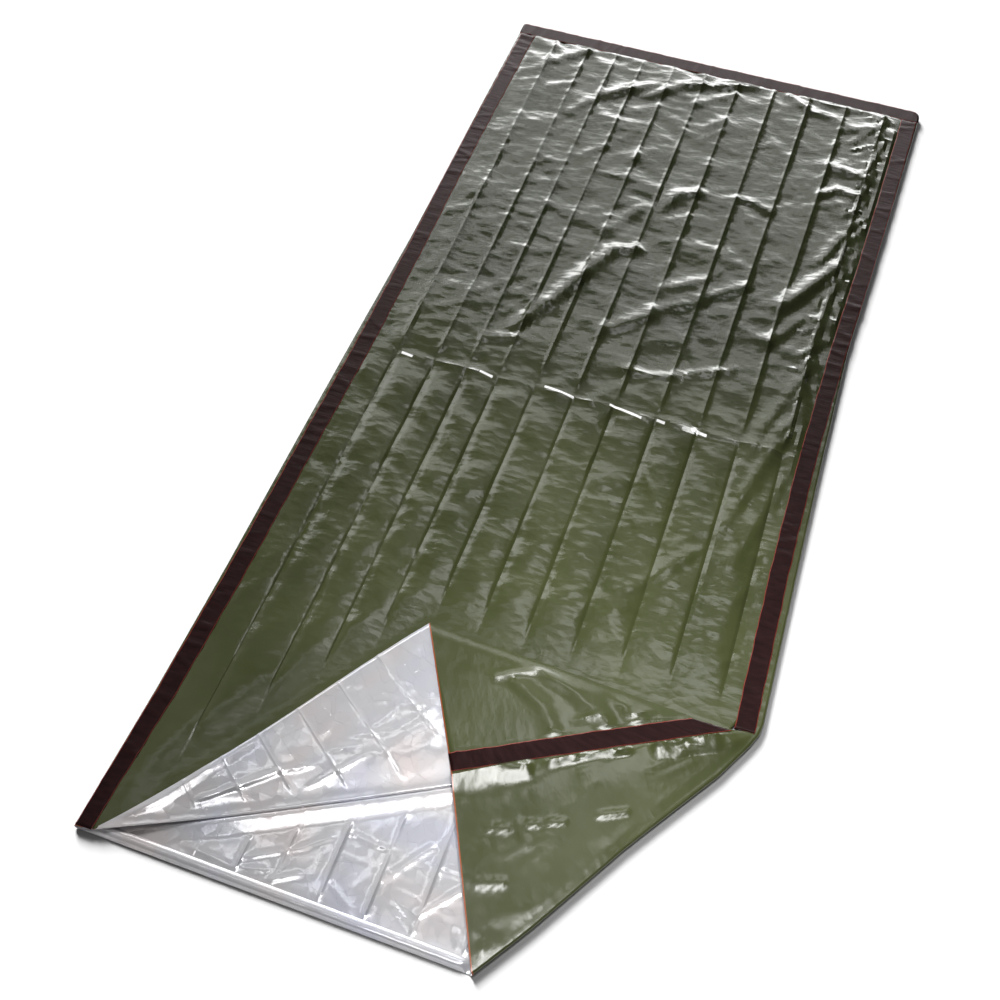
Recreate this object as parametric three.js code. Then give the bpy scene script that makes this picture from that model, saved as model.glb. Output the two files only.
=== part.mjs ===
import * as THREE from "three";

// Driving sizes of the bag in millimetres: X runs across it and Y from its mouth to its foot.
const BAG_WIDTH = 914;
const BAG_LENGTH = 2121;
const FILM = 1.2;
const TAPE = 1;
const GAP = 0.3;
// Space between the two cut edges that meet under the tape.
const SEAM_GAP = 1;
// Radius of the round edge where the lower film turns up to the seam.
const EDGE_RADIUS = 4.5;
// Height from the middle of one layer of film to the middle of the next.
const LAYER_PITCH = 2;
const FLOOR_HEIGHT = FILM / 2;
const SEAM_HEIGHT = FLOOR_HEIGHT + 2 * EDGE_RADIUS;

// Tape and seams.
const TAPE_HALF_WIDTH = 16;
const MOUTH_TAPE_HALF_WIDTH = 13;
const MOUTH_TAPE_REACH = 300;
const TURNED_TAPE_HALF_WIDTH = 15.5;
const FOOT_TAPE_HALF_WIDTH = 18.5;
const FOOT_SEAM = 19;
const LEFT_TAPE_START = 9;
const RIGHT_TAPE_START = 487;

// The open corner seen from above, where the film is turned back and squashed flat.
const FLAP_START = new THREE.Vector2(29, 10);
const FLAP_TIP = new THREE.Vector2(364, 503);
const SEAM_END = new THREE.Vector2(480, 281);
const SEAM_TOP = new THREE.Vector2(838, 480);
const CORNER = new THREE.Vector2(914, 488);
// Where the upper film's cut edge crosses the flap's crease, and how far up the cut leaves the seam.
const FLAP_END = new THREE.Vector2(862, 461);
const TRIM_TOP = 540;
const CREASE_SAG = 11;
const FLAP_EDGE_BOW = 15;
// Column of the flat upper film that becomes the flap's tip.
const TIP_COLUMN = 616;
const MOUTH_LEFT = 8;
const MOUTH_RIGHT = -8;
const MOUTH_REACH = 300;
const HEM_CURL = 3;
const HEM_DEPTH = 12;

// How the folded layers swell away from the ends of the flap's crease, which they hug up to a distance.
const FLAP_SWELL = 3;
const UNDER_FLAP_SWELL = 1.5;
const HUG_CORNER = { until: 90, free: 300 };
const HUG_START = { until: 20, free: 200 };
// The main part of the upper film lies plain under the flap and has its relief beyond it.
const RELIEF_START = { none: 500, full: 620 };
const UPPER_SWELL = 2;
const RIDGE_HEIGHT = 3.6;
const VALLEY_DEPTH = 1.6;
const RIDGE_HALF_WIDTH = 30;
const HALFWAY_FOLD = 1052;
const HALFWAY_HEIGHT = 3;
const HALFWAY_HALF_WIDTH = 34;
// Valleys on the mouth's side of the halfway fold become ridges over this distance either side of it.
const RIDGE_CHANGE = 90;
const FLAT_MARGIN = 20;
const SWELL_MARGIN = 70;

// Outer edges of the laid bag, and how far in from them the two seams lie.
const SIDES = [
  { y: 0, left: 0, right: 914, leftSeam: 14, rightSeam: 27 },
  { y: 250, left: 7, right: 914, leftSeam: 19, rightSeam: 27 },
  { y: 500, left: 9, right: 914, leftSeam: 22, rightSeam: 27 },
  { y: 800, left: 8, right: 906, leftSeam: 24, rightSeam: 30 },
  { y: 1050, left: 8, right: 900, leftSeam: 26, rightSeam: 28 },
  { y: 1350, left: 9, right: 895, leftSeam: 21, rightSeam: 19 },
  { y: 1550, left: 6, right: 902, leftSeam: 18, rightSeam: 17.5 },
  { y: 1800, left: 1, right: 909, leftSeam: 20, rightSeam: 18 },
  { y: BAG_LENGTH, left: -3, right: 917, leftSeam: 21, rightSeam: 20 },
];
// Reach of the side edges' bow into the bag.
const BOW_REACH = 300;
const LEFT_CORNER_ROUND = 6;
const RIGHT_CORNER_ROUND = 22;

// Edge of the lower film where it turns up into the lower half of the green kite.
const TURNED_EDGE = [
  { y: 0, x: 616 },
  { y: 89, x: 674 },
  { y: 239, x: 764 },
  { y: 400, x: 868 },
  { y: 464, x: 901 },
  { y: 488, x: 911 },
  { y: 510, x: 914 },
];
// Cut edge of that half, from the mouth to the corner, by the share of the turned edge it belongs to.
const LOWER_SEAM = [
  { share: 0, x: 480, y: 281 },
  { share: 0.88, x: 838, y: 480 },
  { share: 0.95, x: 864, y: 482.5 },
  { share: 1, x: 887, y: 487 },
];
const SEAM_DROP_START = 0.9;
// Direction out of the turned edge, which swings to straight out across the bag above the corner.
const TURNED_OUTWARD = new THREE.Vector2(0.86, -0.51);
const OUTWARD_SWING = { start: 430, end: 510 };
// Width beside the seam that lies level on the flap, at the mouth and at the corner.
const LEVEL_AT_MOUTH = 48;
const LEVEL_AT_CORNER = 28;
const LEVEL_MOST_SHARE = 0.6;

// Lengthwise storage creases: place across the flat film and share of the full ridge height.
const CREASES = [
  { x: 92, share: 0.9 },
  { x: 168.5, share: 1 },
  { x: 233, share: 0.8 },
  { x: 296, share: 0.7 },
  { x: 367, share: 0.9 },
  { x: 441, share: 1.1 },
  { x: 517, share: 1 },
  { x: 596, share: 0.9 },
  { x: 676, share: 1.1 },
  { x: 757, share: 1 },
  { x: 841, share: 0.8 },
];

// Main wrinkles pressed across the creases: ends, height and half width.
const WRINKLES = [
  { x0: 296, y0: 1215, x1: 440, y1: 1468, height: 7.5, half: 38 },
  { x0: 240, y0: 1940, x1: 505, y1: 2066, height: 7.5, half: 40 },
  { x0: 750, y0: 1420, x1: 830, y1: 1565, height: 7.5, half: 38 },
  { x0: 462, y0: 1600, x1: 512, y1: 1690, height: 6, half: 38 },
  { x0: 757, y0: 860, x1: 836, y1: 1210, height: 6, half: 34 },
  { x0: 590, y0: 1166, x1: 700, y1: 1224, height: 5.5, half: 34 },
  { x0: 757, y0: 1868, x1: 842, y1: 1850, height: 6, half: 36 },
  { x0: 448, y0: 1240, x1: 500, y1: 1290, height: 5, half: 34 },
  { x0: 610, y0: 1704, x1: 676, y1: 1674, height: 5, half: 36 },
  { x0: 640, y0: 2080, x1: 730, y1: 2006, height: 6, half: 38 },
  { x0: 104, y0: 2000, x1: 170, y1: 2066, height: 5.5, half: 36 },
];

// Columns of the flat upper film between the creases, closer together where a fold runs out to nothing.
const BETWEEN_CREASES = [62, 130, 200, 264, 331, 404, 479, 557, 650, 716, 799];
const FLAP_START_COLUMNS = [29, 31, 33, 35.5];
const TIP_COLUMNS = [TIP_COLUMN, 617, 618.2, 622];
const ROWS_TO_HALFWAY = 23;
const ROWS_TO_CREASE = 20;
const ROLL_STEPS = 4;
const FLAP_ROWS = 5;
const KITE_ROWS = 4;

// Cross stations of the lower film's floor as shares of its width, and rows by distance from the mouth.
const FLOOR_STATIONS = [0, 0.03, 0.2, 0.4, 0.6, 0.8, 0.97, 1];
const KITE_STATIONS = [0, 0.2, 0.4, 0.6, 0.8, 1];
const CORNER_ROWS = [0, 5, 12, 60, 120, 180, 240, 300, 350, 400, 430, 452, 470, 488, 510];
const LONG_ROW_STEP = 85;
// Stops along the foot tape as shares of its length, closer together in its rounded corners.
const FOOT_TAPE_STOPS = [0, 0.008, 0.026, 0.14, 0.26, 0.38, 0.5, 0.62, 0.74, 0.86, 0.963, 0.98, 0.99, 1];
const FOOT_TAPE_INSET = 0.5;
const TURNED_TAPE_STEPS = 8;
// Clear space between the turned tape's cut end and the fold above it.
const TURNED_TAPE_CLEAR = 3;

const lerp = THREE.MathUtils.lerp;
const clamp = THREE.MathUtils.clamp;
const smooth = THREE.MathUtils.smoothstep;

// Reads one column of a table at a place, with a straight run between rows.
function read(table, key, at, column) {
  let row = 1;
  while (row < table.length - 1 && table[row][key] < at) {
    row += 1;
  }
  const low = table[row - 1];
  const high = table[row];
  const share = clamp((at - low[key]) / (high[key] - low[key]), 0, 1);
  return lerp(low[column], high[column], share);
}

// One tent across a line: full height on it, and nothing past its half width.
function tent(distance, half) {
  return Math.max(0, 1 - Math.abs(distance) / half);
}

// Distance of a point from a wrinkle's line, and a fade towards the wrinkle's ends.
function wrinkleHeight(wrinkle, x, y) {
  const alongX = wrinkle.x1 - wrinkle.x0;
  const alongY = wrinkle.y1 - wrinkle.y0;
  const length = Math.hypot(alongX, alongY);
  const along = ((x - wrinkle.x0) * alongX + (y - wrinkle.y0) * alongY) / length;
  const across = ((x - wrinkle.x0) * alongY - (y - wrinkle.y0) * alongX) / length;
  const past = Math.max(-along, along - length, 0);
  return wrinkle.height * tent(Math.hypot(across, past), wrinkle.half);
}

// Moves a point of the straight-sided bag to the bowed and rounded outline of the laid one.
function laid(x, y, z) {
  const fromLeft = clamp(1 - x / BOW_REACH, 0, 1);
  const fromRight = clamp(1 - (BAG_WIDTH - x) / BOW_REACH, 0, 1);
  const roundedRight = roundCorner(x - BAG_WIDTH, y - BAG_LENGTH, RIGHT_CORNER_ROUND);
  const roundedLeft = roundCorner(-x, y - BAG_LENGTH, LEFT_CORNER_ROUND);
  const left = read(SIDES, "y", y, "left");
  const right = read(SIDES, "y", y, "right") - BAG_WIDTH;
  const shift = left * fromLeft + right * fromRight + roundedRight.across - roundedLeft.across;
  return new THREE.Vector3(x + shift, y + roundedRight.along + roundedLeft.along, z);
}

// Draws a square corner in to a quarter circle; both distances are measured from the corner.
function roundCorner(across, along, radius) {
  const inwardX = across + radius;
  const inwardY = along + radius;
  if (inwardX <= 0 || inwardY <= 0) {
    return { across: 0, along: 0 };
  }
  const scale = Math.max(inwardX, inwardY) / Math.hypot(inwardX, inwardY) - 1;
  return { across: inwardX * scale, along: inwardY * scale };
}

// Crease of the turned-back flap in the plan, sagging a little between its ends.
function creaseAt(x) {
  const share = clamp((x - FLAP_START.x) / (FLAP_END.x - FLAP_START.x), 0, 1);
  const sag = CREASE_SAG * 4 * share * (1 - share);
  return new THREE.Vector2(x, lerp(FLAP_START.y, FLAP_END.y, share) - sag);
}

// Share of the full swell in the turned corner: none at the ends of the flap's crease.
function swellShare(x, y) {
  const fromCorner = Math.hypot(x - CORNER.x, y - CORNER.y);
  const fromStart = Math.hypot(x - FLAP_START.x, y - FLAP_START.y);
  const besideCorner = smooth(fromCorner, HUG_CORNER.until, HUG_CORNER.free);
  return besideCorner * smooth(fromStart, HUG_START.until, HUG_START.free);
}

// Middle height of the silver flap; the green kite lies one layer above it.
function flapHeight(x, y) {
  return SEAM_HEIGHT + LAYER_PITCH + FLAP_SWELL * swellShare(x, y);
}

function kiteHeight(x, y) {
  return flapHeight(x, y) + LAYER_PITCH;
}

// Edges of the upper film, where it meets the turned-up lower film under the tape.
function upperLeft(y) {
  return read(SIDES, "y", y, "leftSeam") + SEAM_GAP / 2;
}

function upperRight(y) {
  const seam = BAG_WIDTH - read(SIDES, "y", y, "rightSeam") - SEAM_GAP / 2;
  return lerp(FLAP_END.x, seam, smooth(y, FLAP_END.y, TRIM_TOP));
}

const UPPER_FOOT = BAG_LENGTH - FOOT_SEAM - SEAM_GAP / 2;

// Middle height of the main part of the upper film, with its creases, halfway fold and wrinkles.
function upperHeight(x, y) {
  const fromEdge = Math.min(x - upperLeft(y), upperRight(y) - x, UPPER_FOOT - y);
  const free = smooth(fromEdge, FLAT_MARGIN, SWELL_MARGIN);
  const open = smooth(y, RELIEF_START.none, RELIEF_START.full);
  const far = smooth(y, HALFWAY_FOLD - RIDGE_CHANGE, HALFWAY_FOLD + RIDGE_CHANGE);
  const creaseHeight = lerp(-VALLEY_DEPTH, RIDGE_HEIGHT, far);
  let relief = HALFWAY_HEIGHT * tent(y - HALFWAY_FOLD, HALFWAY_HALF_WIDTH);
  for (const crease of CREASES) {
    relief += creaseHeight * crease.share * tent(x - crease.x, RIDGE_HALF_WIDTH);
  }
  for (const wrinkle of WRINKLES) {
    relief += wrinkleHeight(wrinkle, x, y);
  }
  const underFlap = UNDER_FLAP_SWELL * swellShare(x, y);
  return SEAM_HEIGHT + free * lerp(underFlap, UPPER_SWELL + relief, open);
}

// Points of a half roll of film between two places in the plan, bulging along a direction.
function roll(start, end, bulge, low, radius, angle) {
  const points = [];
  for (let step = 1; step <= ROLL_STEPS; step += 1) {
    const turn = angle * step / ROLL_STEPS;
    const plan = start.clone().lerp(end, turn / Math.PI);
    plan.addScaledVector(bulge, radius * Math.sin(turn));
    points.push(laid(plan.x, plan.y, low + radius * (1 - Math.cos(turn))));
  }
  return points;
}

// Straight run of film in the plan; height gives its level at each place.
function run(start, end, rows, height) {
  const points = [];
  for (let row = 1; row <= rows; row += 1) {
    const plan = start.clone().lerp(end, row / rows);
    points.push(laid(plan.x, plan.y, height(plan.x, plan.y)));
  }
  return points;
}

function repeatLast(points, count) {
  const last = points[points.length - 1];
  for (let copy = 0; copy < count; copy += 1) {
    points.push(last.clone());
  }
}

// One lengthwise column of the upper film: foot, halfway fold, flap crease, flap, tip fold, green kite.
function upperColumn(columnAt) {
  const points = [];
  const addMain = (y) => points.push(laid(columnAt(y), y, upperHeight(columnAt(y), y)));
  addMain(UPPER_FOOT);
  for (let row = 0; row <= ROWS_TO_HALFWAY; row += 1) {
    addMain(lerp(UPPER_FOOT - FLAT_MARGIN, HALFWAY_FOLD, row / ROWS_TO_HALFWAY));
  }
  const foldColumn = columnAt(FLAP_END.y);
  const crease = creaseAt(foldColumn);
  const low = upperHeight(crease.x, crease.y);
  const radius = (flapHeight(crease.x, crease.y) - low) / 2;
  for (let row = 1; row <= ROWS_TO_CREASE; row += 1) {
    addMain(lerp(HALFWAY_FOLD, crease.y + radius, row / ROWS_TO_CREASE));
  }
  if (foldColumn <= FLAP_START.x) {
    repeatLast(points, 2 * ROLL_STEPS + FLAP_ROWS + KITE_ROWS);
    return points;
  }
  const pastTip = clamp((foldColumn - TIP_COLUMN) / (FLAP_END.x - TIP_COLUMN), 0, 1);
  const flapShare = Math.min(1, (foldColumn - FLAP_START.x) / (TIP_COLUMN - FLAP_START.x));
  const flapEnd = FLAP_START.clone().lerp(FLAP_TIP, flapShare);
  const bow = FLAP_EDGE_BOW * Math.sin(Math.PI * flapShare) * (1 - flapShare);
  flapEnd.add(new THREE.Vector2(FLAP_TIP.y - FLAP_START.y, FLAP_START.x - FLAP_TIP.x).setLength(bow));
  flapEnd.lerp(SEAM_TOP, pastTip);
  const back = flapEnd.clone().sub(crease);
  const angle = Math.min(Math.PI, back.length() / radius);
  back.normalize();
  const creaseOut = new THREE.Vector2(FLAP_END.y - FLAP_START.y, FLAP_START.x - FLAP_END.x).normalize();
  const rollStart = crease.clone().add(new THREE.Vector2(0, radius));
  const rollEnd = crease.clone().addScaledVector(back, radius);
  points.push(...roll(rollStart, rollEnd, creaseOut, low, radius, angle));
  if (angle < Math.PI) {
    repeatLast(points, FLAP_ROWS + ROLL_STEPS + KITE_ROWS);
    return points;
  }
  if (pastTip === 0) {
    points.push(...run(rollEnd, flapEnd, FLAP_ROWS, flapHeight));
    repeatLast(points, ROLL_STEPS + KITE_ROWS);
    return points;
  }
  const tipRadius = LAYER_PITCH / 2;
  const kiteEnd = FLAP_TIP.clone().lerp(SEAM_END, pastTip);
  const down = kiteEnd.clone().sub(flapEnd);
  const tipAngle = Math.min(Math.PI, down.length() / tipRadius);
  down.normalize();
  const tipStart = flapEnd.clone().addScaledVector(back, -tipRadius);
  const tipRollEnd = flapEnd.clone().addScaledVector(down, tipRadius);
  const tipOut = new THREE.Vector2(FLAP_TIP.y - SEAM_TOP.y, SEAM_TOP.x - FLAP_TIP.x).normalize();
  points.push(...run(rollEnd, tipStart, FLAP_ROWS, flapHeight));
  points.push(...roll(tipStart, tipRollEnd, tipOut, flapHeight(flapEnd.x, flapEnd.y), tipRadius, tipAngle));
  if (tipAngle < Math.PI) {
    repeatLast(points, KITE_ROWS);
    return points;
  }
  points.push(...run(tipRollEnd, kiteEnd, KITE_ROWS, kiteHeight));
  return points;
}

function upperPanel() {
  const places = [...FLAP_START_COLUMNS, ...TIP_COLUMNS, ...BETWEEN_CREASES];
  places.push(...CREASES.map((crease) => crease.x));
  places.sort((a, b) => a - b);
  const columns = places.map((x) => () => x);
  const besideTape = (y) => upperRight(y) - FLAT_MARGIN;
  return [upperLeft, ...columns, besideTape, upperRight].map(upperColumn);
}

// Height of the lower half of the kite: level on the flap beside the seam, then down to the turned edge.
function lowerKiteHeight(x, y, share, fromSeam, width) {
  const seam = lerp(kiteHeight(x, y), SEAM_HEIGHT, smooth(share, SEAM_DROP_START, 1));
  const level = lerp(LEVEL_AT_MOUTH, LEVEL_AT_CORNER, share);
  return lerp(seam, SEAM_HEIGHT, smooth(fromSeam, Math.min(level, width * LEVEL_MOST_SHARE), width));
}

// Place of a row of the lower film at a distance across, with the slant of the mouth's cut edge.
function mouthLine(x, y) {
  const slant = lerp(MOUTH_LEFT, MOUTH_RIGHT, x / TURNED_EDGE[0].x);
  return y + slant * (1 - smooth(y, 0, MOUTH_REACH));
}

// Cut edge of the lower film on the right: beside the upper film's, along the side or across the kite.
function lowerSeamPoint(y, across) {
  if (y >= CORNER.y) {
    return new THREE.Vector2(BAG_WIDTH - read(SIDES, "y", y, "rightSeam") + SEAM_GAP / 2, y);
  }
  const share = y / CORNER.y;
  const x = read(LOWER_SEAM, "share", share, "x");
  const point = new THREE.Vector2(x, read(LOWER_SEAM, "share", share, "y"));
  return point.addScaledVector(across, SEAM_GAP);
}

// One crosswise row of the lower film: left strip, left edge, floor, right edge, right strip or kite.
function lowerRow(y) {
  const atFoot = y === BAG_LENGTH;
  const leftY = mouthLine(0, y);
  const points = [laid(read(SIDES, "y", y, "leftSeam") - SEAM_GAP / 2, leftY, SEAM_HEIGHT)];
  for (let step = 0; step < ROLL_STEPS; step += 1) {
    const turn = Math.PI * step / ROLL_STEPS;
    const x = EDGE_RADIUS * (1 - Math.sin(turn));
    points.push(laid(x, leftY, SEAM_HEIGHT - EDGE_RADIUS * (1 - Math.cos(turn))));
  }
  const edgeX = read(TURNED_EDGE, "y", y, "x");
  const edge = new THREE.Vector2(edgeX, mouthLine(edgeX, y));
  const swing = smooth(y, OUTWARD_SWING.start, OUTWARD_SWING.end);
  const outward = TURNED_OUTWARD.clone().lerp(new THREE.Vector2(1, 0), swing).normalize();
  const floorEnd = edge.clone().addScaledVector(outward, -EDGE_RADIUS);
  for (const station of FLOOR_STATIONS) {
    const curl = HEM_CURL * (1 - smooth(y, 0, HEM_DEPTH)) * Math.sqrt(Math.sin(Math.PI * station));
    const turnsUp = atFoot && station > 0 && station < 1;
    const planY = turnsUp ? BAG_LENGTH - EDGE_RADIUS : lerp(leftY, floorEnd.y, station);
    points.push(laid(lerp(EDGE_RADIUS, floorEnd.x, station), planY, FLOOR_HEIGHT + curl));
  }
  const across = new THREE.Vector2(SEAM_TOP.y - SEAM_END.y, SEAM_END.x - SEAM_TOP.x).normalize();
  const seamPoint = lowerSeamPoint(y, across);
  const topStart = edge.clone().lerp(seamPoint, EDGE_RADIUS / seamPoint.distanceTo(edge));
  points.push(...roll(floorEnd, topStart, outward, FLOOR_HEIGHT, EDGE_RADIUS, Math.PI));
  points.pop();
  const kiteWidth = topStart.clone().sub(seamPoint).dot(across);
  for (const station of KITE_STATIONS) {
    const plan = topStart.clone().lerp(seamPoint, station);
    const share = y / CORNER.y;
    const inKite = lowerKiteHeight(plan.x, plan.y, share, kiteWidth * (1 - station), kiteWidth);
    points.push(laid(plan.x, plan.y, share < 1 ? inKite : SEAM_HEIGHT));
  }
  return points;
}

// The foot turns up like the sides, between the two corners.
function lowerFoot(floorRow) {
  const first = 1 + ROLL_STEPS + 1;
  const last = first + FLOOR_STATIONS.length - 3;
  const rows = [];
  const place = (y, z) => floorRow.map((point, index) => {
    const turned = index >= first && index <= last;
    return turned ? new THREE.Vector3(point.x, y, z) : null;
  });
  for (let step = 1; step <= ROLL_STEPS; step += 1) {
    const turn = Math.PI * step / ROLL_STEPS;
    const y = BAG_LENGTH - EDGE_RADIUS * (1 - Math.sin(turn));
    rows.push(place(y, FLOOR_HEIGHT + EDGE_RADIUS * (1 - Math.cos(turn))));
  }
  rows.push(place(BAG_LENGTH - FOOT_SEAM + SEAM_GAP / 2, SEAM_HEIGHT));
  return rows;
}

function lowerPanel() {
  const rows = CORNER_ROWS.map(lowerRow);
  const lastPlain = BAG_LENGTH - 2 * FOOT_SEAM;
  const start = CORNER_ROWS[CORNER_ROWS.length - 1];
  const count = Math.ceil((lastPlain - start) / LONG_ROW_STEP);
  for (let row = 1; row <= count; row += 1) {
    rows.push(lowerRow(lerp(start, lastPlain, row / count)));
  }
  const footRow = lowerRow(BAG_LENGTH);
  rows.push(footRow, ...lowerFoot(footRow));
  return rows;
}

// Strip of tape on the seam: rows along it, each with its two edges and its middle.
function sideTape(start, seamX, halfWidth) {
  const end = BAG_LENGTH - FOOT_SEAM - FOOT_TAPE_HALF_WIDTH - GAP;
  const count = Math.ceil((end - start) / LONG_ROW_STEP);
  const rows = [];
  for (let row = 0; row <= count; row += 1) {
    const y = lerp(start, end, row / count);
    const half = halfWidth(y);
    rows.push([-half, 0, half].map((across) => laid(seamX(y) + across, y, tapeHeight(SEAM_HEIGHT))));
  }
  return rows;
}

function tapeHeight(filmHeight) {
  return filmHeight + FILM / 2 + GAP + TAPE / 2;
}

function leftTape() {
  const seamX = (y) => read(SIDES, "y", y, "leftSeam");
  const half = (y) => lerp(MOUTH_TAPE_HALF_WIDTH, TAPE_HALF_WIDTH, smooth(y, 0, MOUTH_TAPE_REACH));
  return sideTape(LEFT_TAPE_START, seamX, half);
}

function rightTape() {
  const seamX = (y) => BAG_WIDTH - read(SIDES, "y", y, "rightSeam");
  return sideTape(RIGHT_TAPE_START, seamX, () => TAPE_HALF_WIDTH);
}

function footTape() {
  const middle = BAG_LENGTH - FOOT_SEAM;
  const across = [FOOT_TAPE_HALF_WIDTH, 0, -FOOT_TAPE_HALF_WIDTH];
  return FOOT_TAPE_STOPS.map((stop) => {
    const x = lerp(FOOT_TAPE_INSET, BAG_WIDTH - FOOT_TAPE_INSET, stop);
    return across.map((offset) => laid(x, middle + offset, tapeHeight(SEAM_HEIGHT)));
  });
}

// The tape that crosses the kite; its far end is cut along the fold at the kite's top.
function turnedTape() {
  const along = SEAM_TOP.clone().sub(SEAM_END).normalize();
  const across = new THREE.Vector2(along.y, -along.x);
  const fold = SEAM_TOP.clone().sub(FLAP_TIP).normalize();
  const rows = [];
  for (let row = 0; row <= TURNED_TAPE_STEPS; row += 1) {
    rows.push([-1, 0, 1].map((side) => {
      const offset = side * TURNED_TAPE_HALF_WIDTH;
      const cut = offset * across.dot(fold) / Math.sqrt(1 - across.dot(fold) ** 2);
      const length = SEAM_TOP.distanceTo(SEAM_END) - TURNED_TAPE_CLEAR + cut;
      const start = SEAM_END.clone().addScaledVector(across, offset);
      const plan = start.addScaledVector(along, length * row / TURNED_TAPE_STEPS);
      return laid(plan.x, plan.y, tapeHeight(kiteHeight(plan.x, plan.y)));
    }));
  }
  return rows;
}

// Closed solid of a sheet from a grid of points on its middle surface; null leaves a cell out.
function thicken(grid, thickness) {
  const points = [];
  const known = new Map();
  const indexOf = (point) => {
    const key = point.toArray().map((value) => value.toFixed(3)).join(" ");
    if (!known.has(key)) {
      known.set(key, points.length);
      points.push(point);
    }
    return known.get(key);
  };
  const faces = [];
  const addFace = (a, b, c) => {
    if (a !== b && b !== c && c !== a) {
      faces.push([a, b, c]);
    }
  };
  for (let i = 0; i + 1 < grid.length; i += 1) {
    for (let j = 0; j + 1 < grid[i].length; j += 1) {
      const corners = [grid[i][j], grid[i + 1][j], grid[i + 1][j + 1], grid[i][j + 1]];
      if (corners.every((corner) => corner !== null)) {
        const [a, b, c, d] = corners.map(indexOf);
        addFace(a, b, c);
        addFace(a, c, d);
      }
    }
  }
  return closedSheet(points, faces, thickness);
}

function closedSheet(points, faces, thickness) {
  const normals = points.map(() => new THREE.Vector3());
  const sides = new Set();
  for (const face of faces) {
    face.forEach((corner, index) => {
      const toNext = points[face[(index + 1) % 3]].clone().sub(points[corner]);
      const toLast = points[face[(index + 2) % 3]].clone().sub(points[corner]);
      const weight = toNext.angleTo(toLast);
      normals[corner].addScaledVector(toNext.cross(toLast).normalize(), weight);
      sides.add(`${corner} ${face[(index + 1) % 3]}`);
    });
  }
  const positions = [];
  for (const side of [0.5, -0.5]) {
    points.forEach((point, index) => {
      const offset = normals[index].clone().setLength(thickness * side);
      positions.push(...point.clone().add(offset).toArray());
    });
  }
  const count = points.length;
  const indices = [];
  for (const [a, b, c] of faces) {
    indices.push(a, b, c, c + count, b + count, a + count);
  }
  for (const [a, b, c] of faces) {
    for (const [from, to] of [[a, b], [b, c], [c, a]]) {
      if (!sides.has(`${to} ${from}`)) {
        indices.push(to, from, from + count, to, from + count, to + count);
      }
    }
  }
  const geometry = new THREE.BufferGeometry();
  geometry.setAttribute("position", new THREE.Float32BufferAttribute(positions, 3));
  geometry.setIndex(signedVolume(positions, indices) < 0 ? indices.reverse() : indices);
  return geometry;
}

function signedVolume(positions, indices) {
  const corner = (index) => new THREE.Vector3().fromArray(positions, 3 * index);
  let volume = 0;
  for (let face = 0; face < indices.length; face += 3) {
    const [a, b, c] = [0, 1, 2].map((step) => corner(indices[face + step]));
    volume += a.dot(b.cross(c)) / 6;
  }
  return volume;
}

const oliveFilm = new THREE.MeshStandardMaterial({ color: 0x53583f, roughness: 0.32, metalness: 0.35 });
const brownTape = new THREE.MeshStandardMaterial({ color: 0x3c2a2d, roughness: 0.45, metalness: 0 });

const PIECES = [
  { name: "lower_panel", grid: lowerPanel, thickness: FILM, material: oliveFilm },
  { name: "upper_panel", grid: upperPanel, thickness: FILM, material: oliveFilm },
  { name: "left_tape", grid: leftTape, thickness: TAPE, material: brownTape },
  { name: "right_tape", grid: rightTape, thickness: TAPE, material: brownTape },
  { name: "turned_tape", grid: turnedTape, thickness: TAPE, material: brownTape },
  { name: "foot_tape", grid: footTape, thickness: TAPE, material: brownTape },
];

const bag = new THREE.Group();
bag.name = "emergency_sleeping_bag";
for (const piece of PIECES) {
  const mesh = new THREE.Mesh(thicken(piece.grid(), piece.thickness), piece.material);
  mesh.name = piece.name;
  bag.add(mesh);
}

// The origin is under the middle of the laid bag.
const box = new THREE.Box3().setFromObject(bag);
const middle = box.getCenter(new THREE.Vector3());
bag.position.set(-middle.x, -middle.y, -box.min.z);

export default bag;
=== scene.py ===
import math

import bmesh
import bpy
import numpy as np
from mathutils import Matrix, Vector


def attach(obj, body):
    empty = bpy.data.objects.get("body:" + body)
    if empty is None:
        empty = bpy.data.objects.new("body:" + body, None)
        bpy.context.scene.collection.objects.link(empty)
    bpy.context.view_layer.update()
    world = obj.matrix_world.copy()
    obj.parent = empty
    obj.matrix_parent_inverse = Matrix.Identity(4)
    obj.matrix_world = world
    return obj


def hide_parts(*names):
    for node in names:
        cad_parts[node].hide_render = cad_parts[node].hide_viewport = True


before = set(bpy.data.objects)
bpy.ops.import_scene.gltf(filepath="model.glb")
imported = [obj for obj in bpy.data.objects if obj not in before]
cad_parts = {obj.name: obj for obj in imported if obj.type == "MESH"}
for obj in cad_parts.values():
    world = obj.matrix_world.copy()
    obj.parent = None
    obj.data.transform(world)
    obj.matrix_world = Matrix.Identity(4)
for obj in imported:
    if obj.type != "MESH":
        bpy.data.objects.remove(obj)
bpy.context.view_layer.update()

# Camera: it stands over the near right of the bag's mouth and looks down along the bag,
# at the photograph's angle and distance.
CAMERA_PLACE = (0.3561, -1.7182, 1.9580)
CAMERA_TURN = (37.637, -1.831, 18.694)
CAMERA_LENS = 51.56

camera = bpy.data.objects.new("camera", bpy.data.cameras.new("camera"))
camera.location = CAMERA_PLACE
camera.rotation_euler = [math.radians(angle) for angle in CAMERA_TURN]
camera.data.lens = CAMERA_LENS
bpy.context.scene.collection.objects.link(camera)
bpy.context.scene.camera = camera

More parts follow.
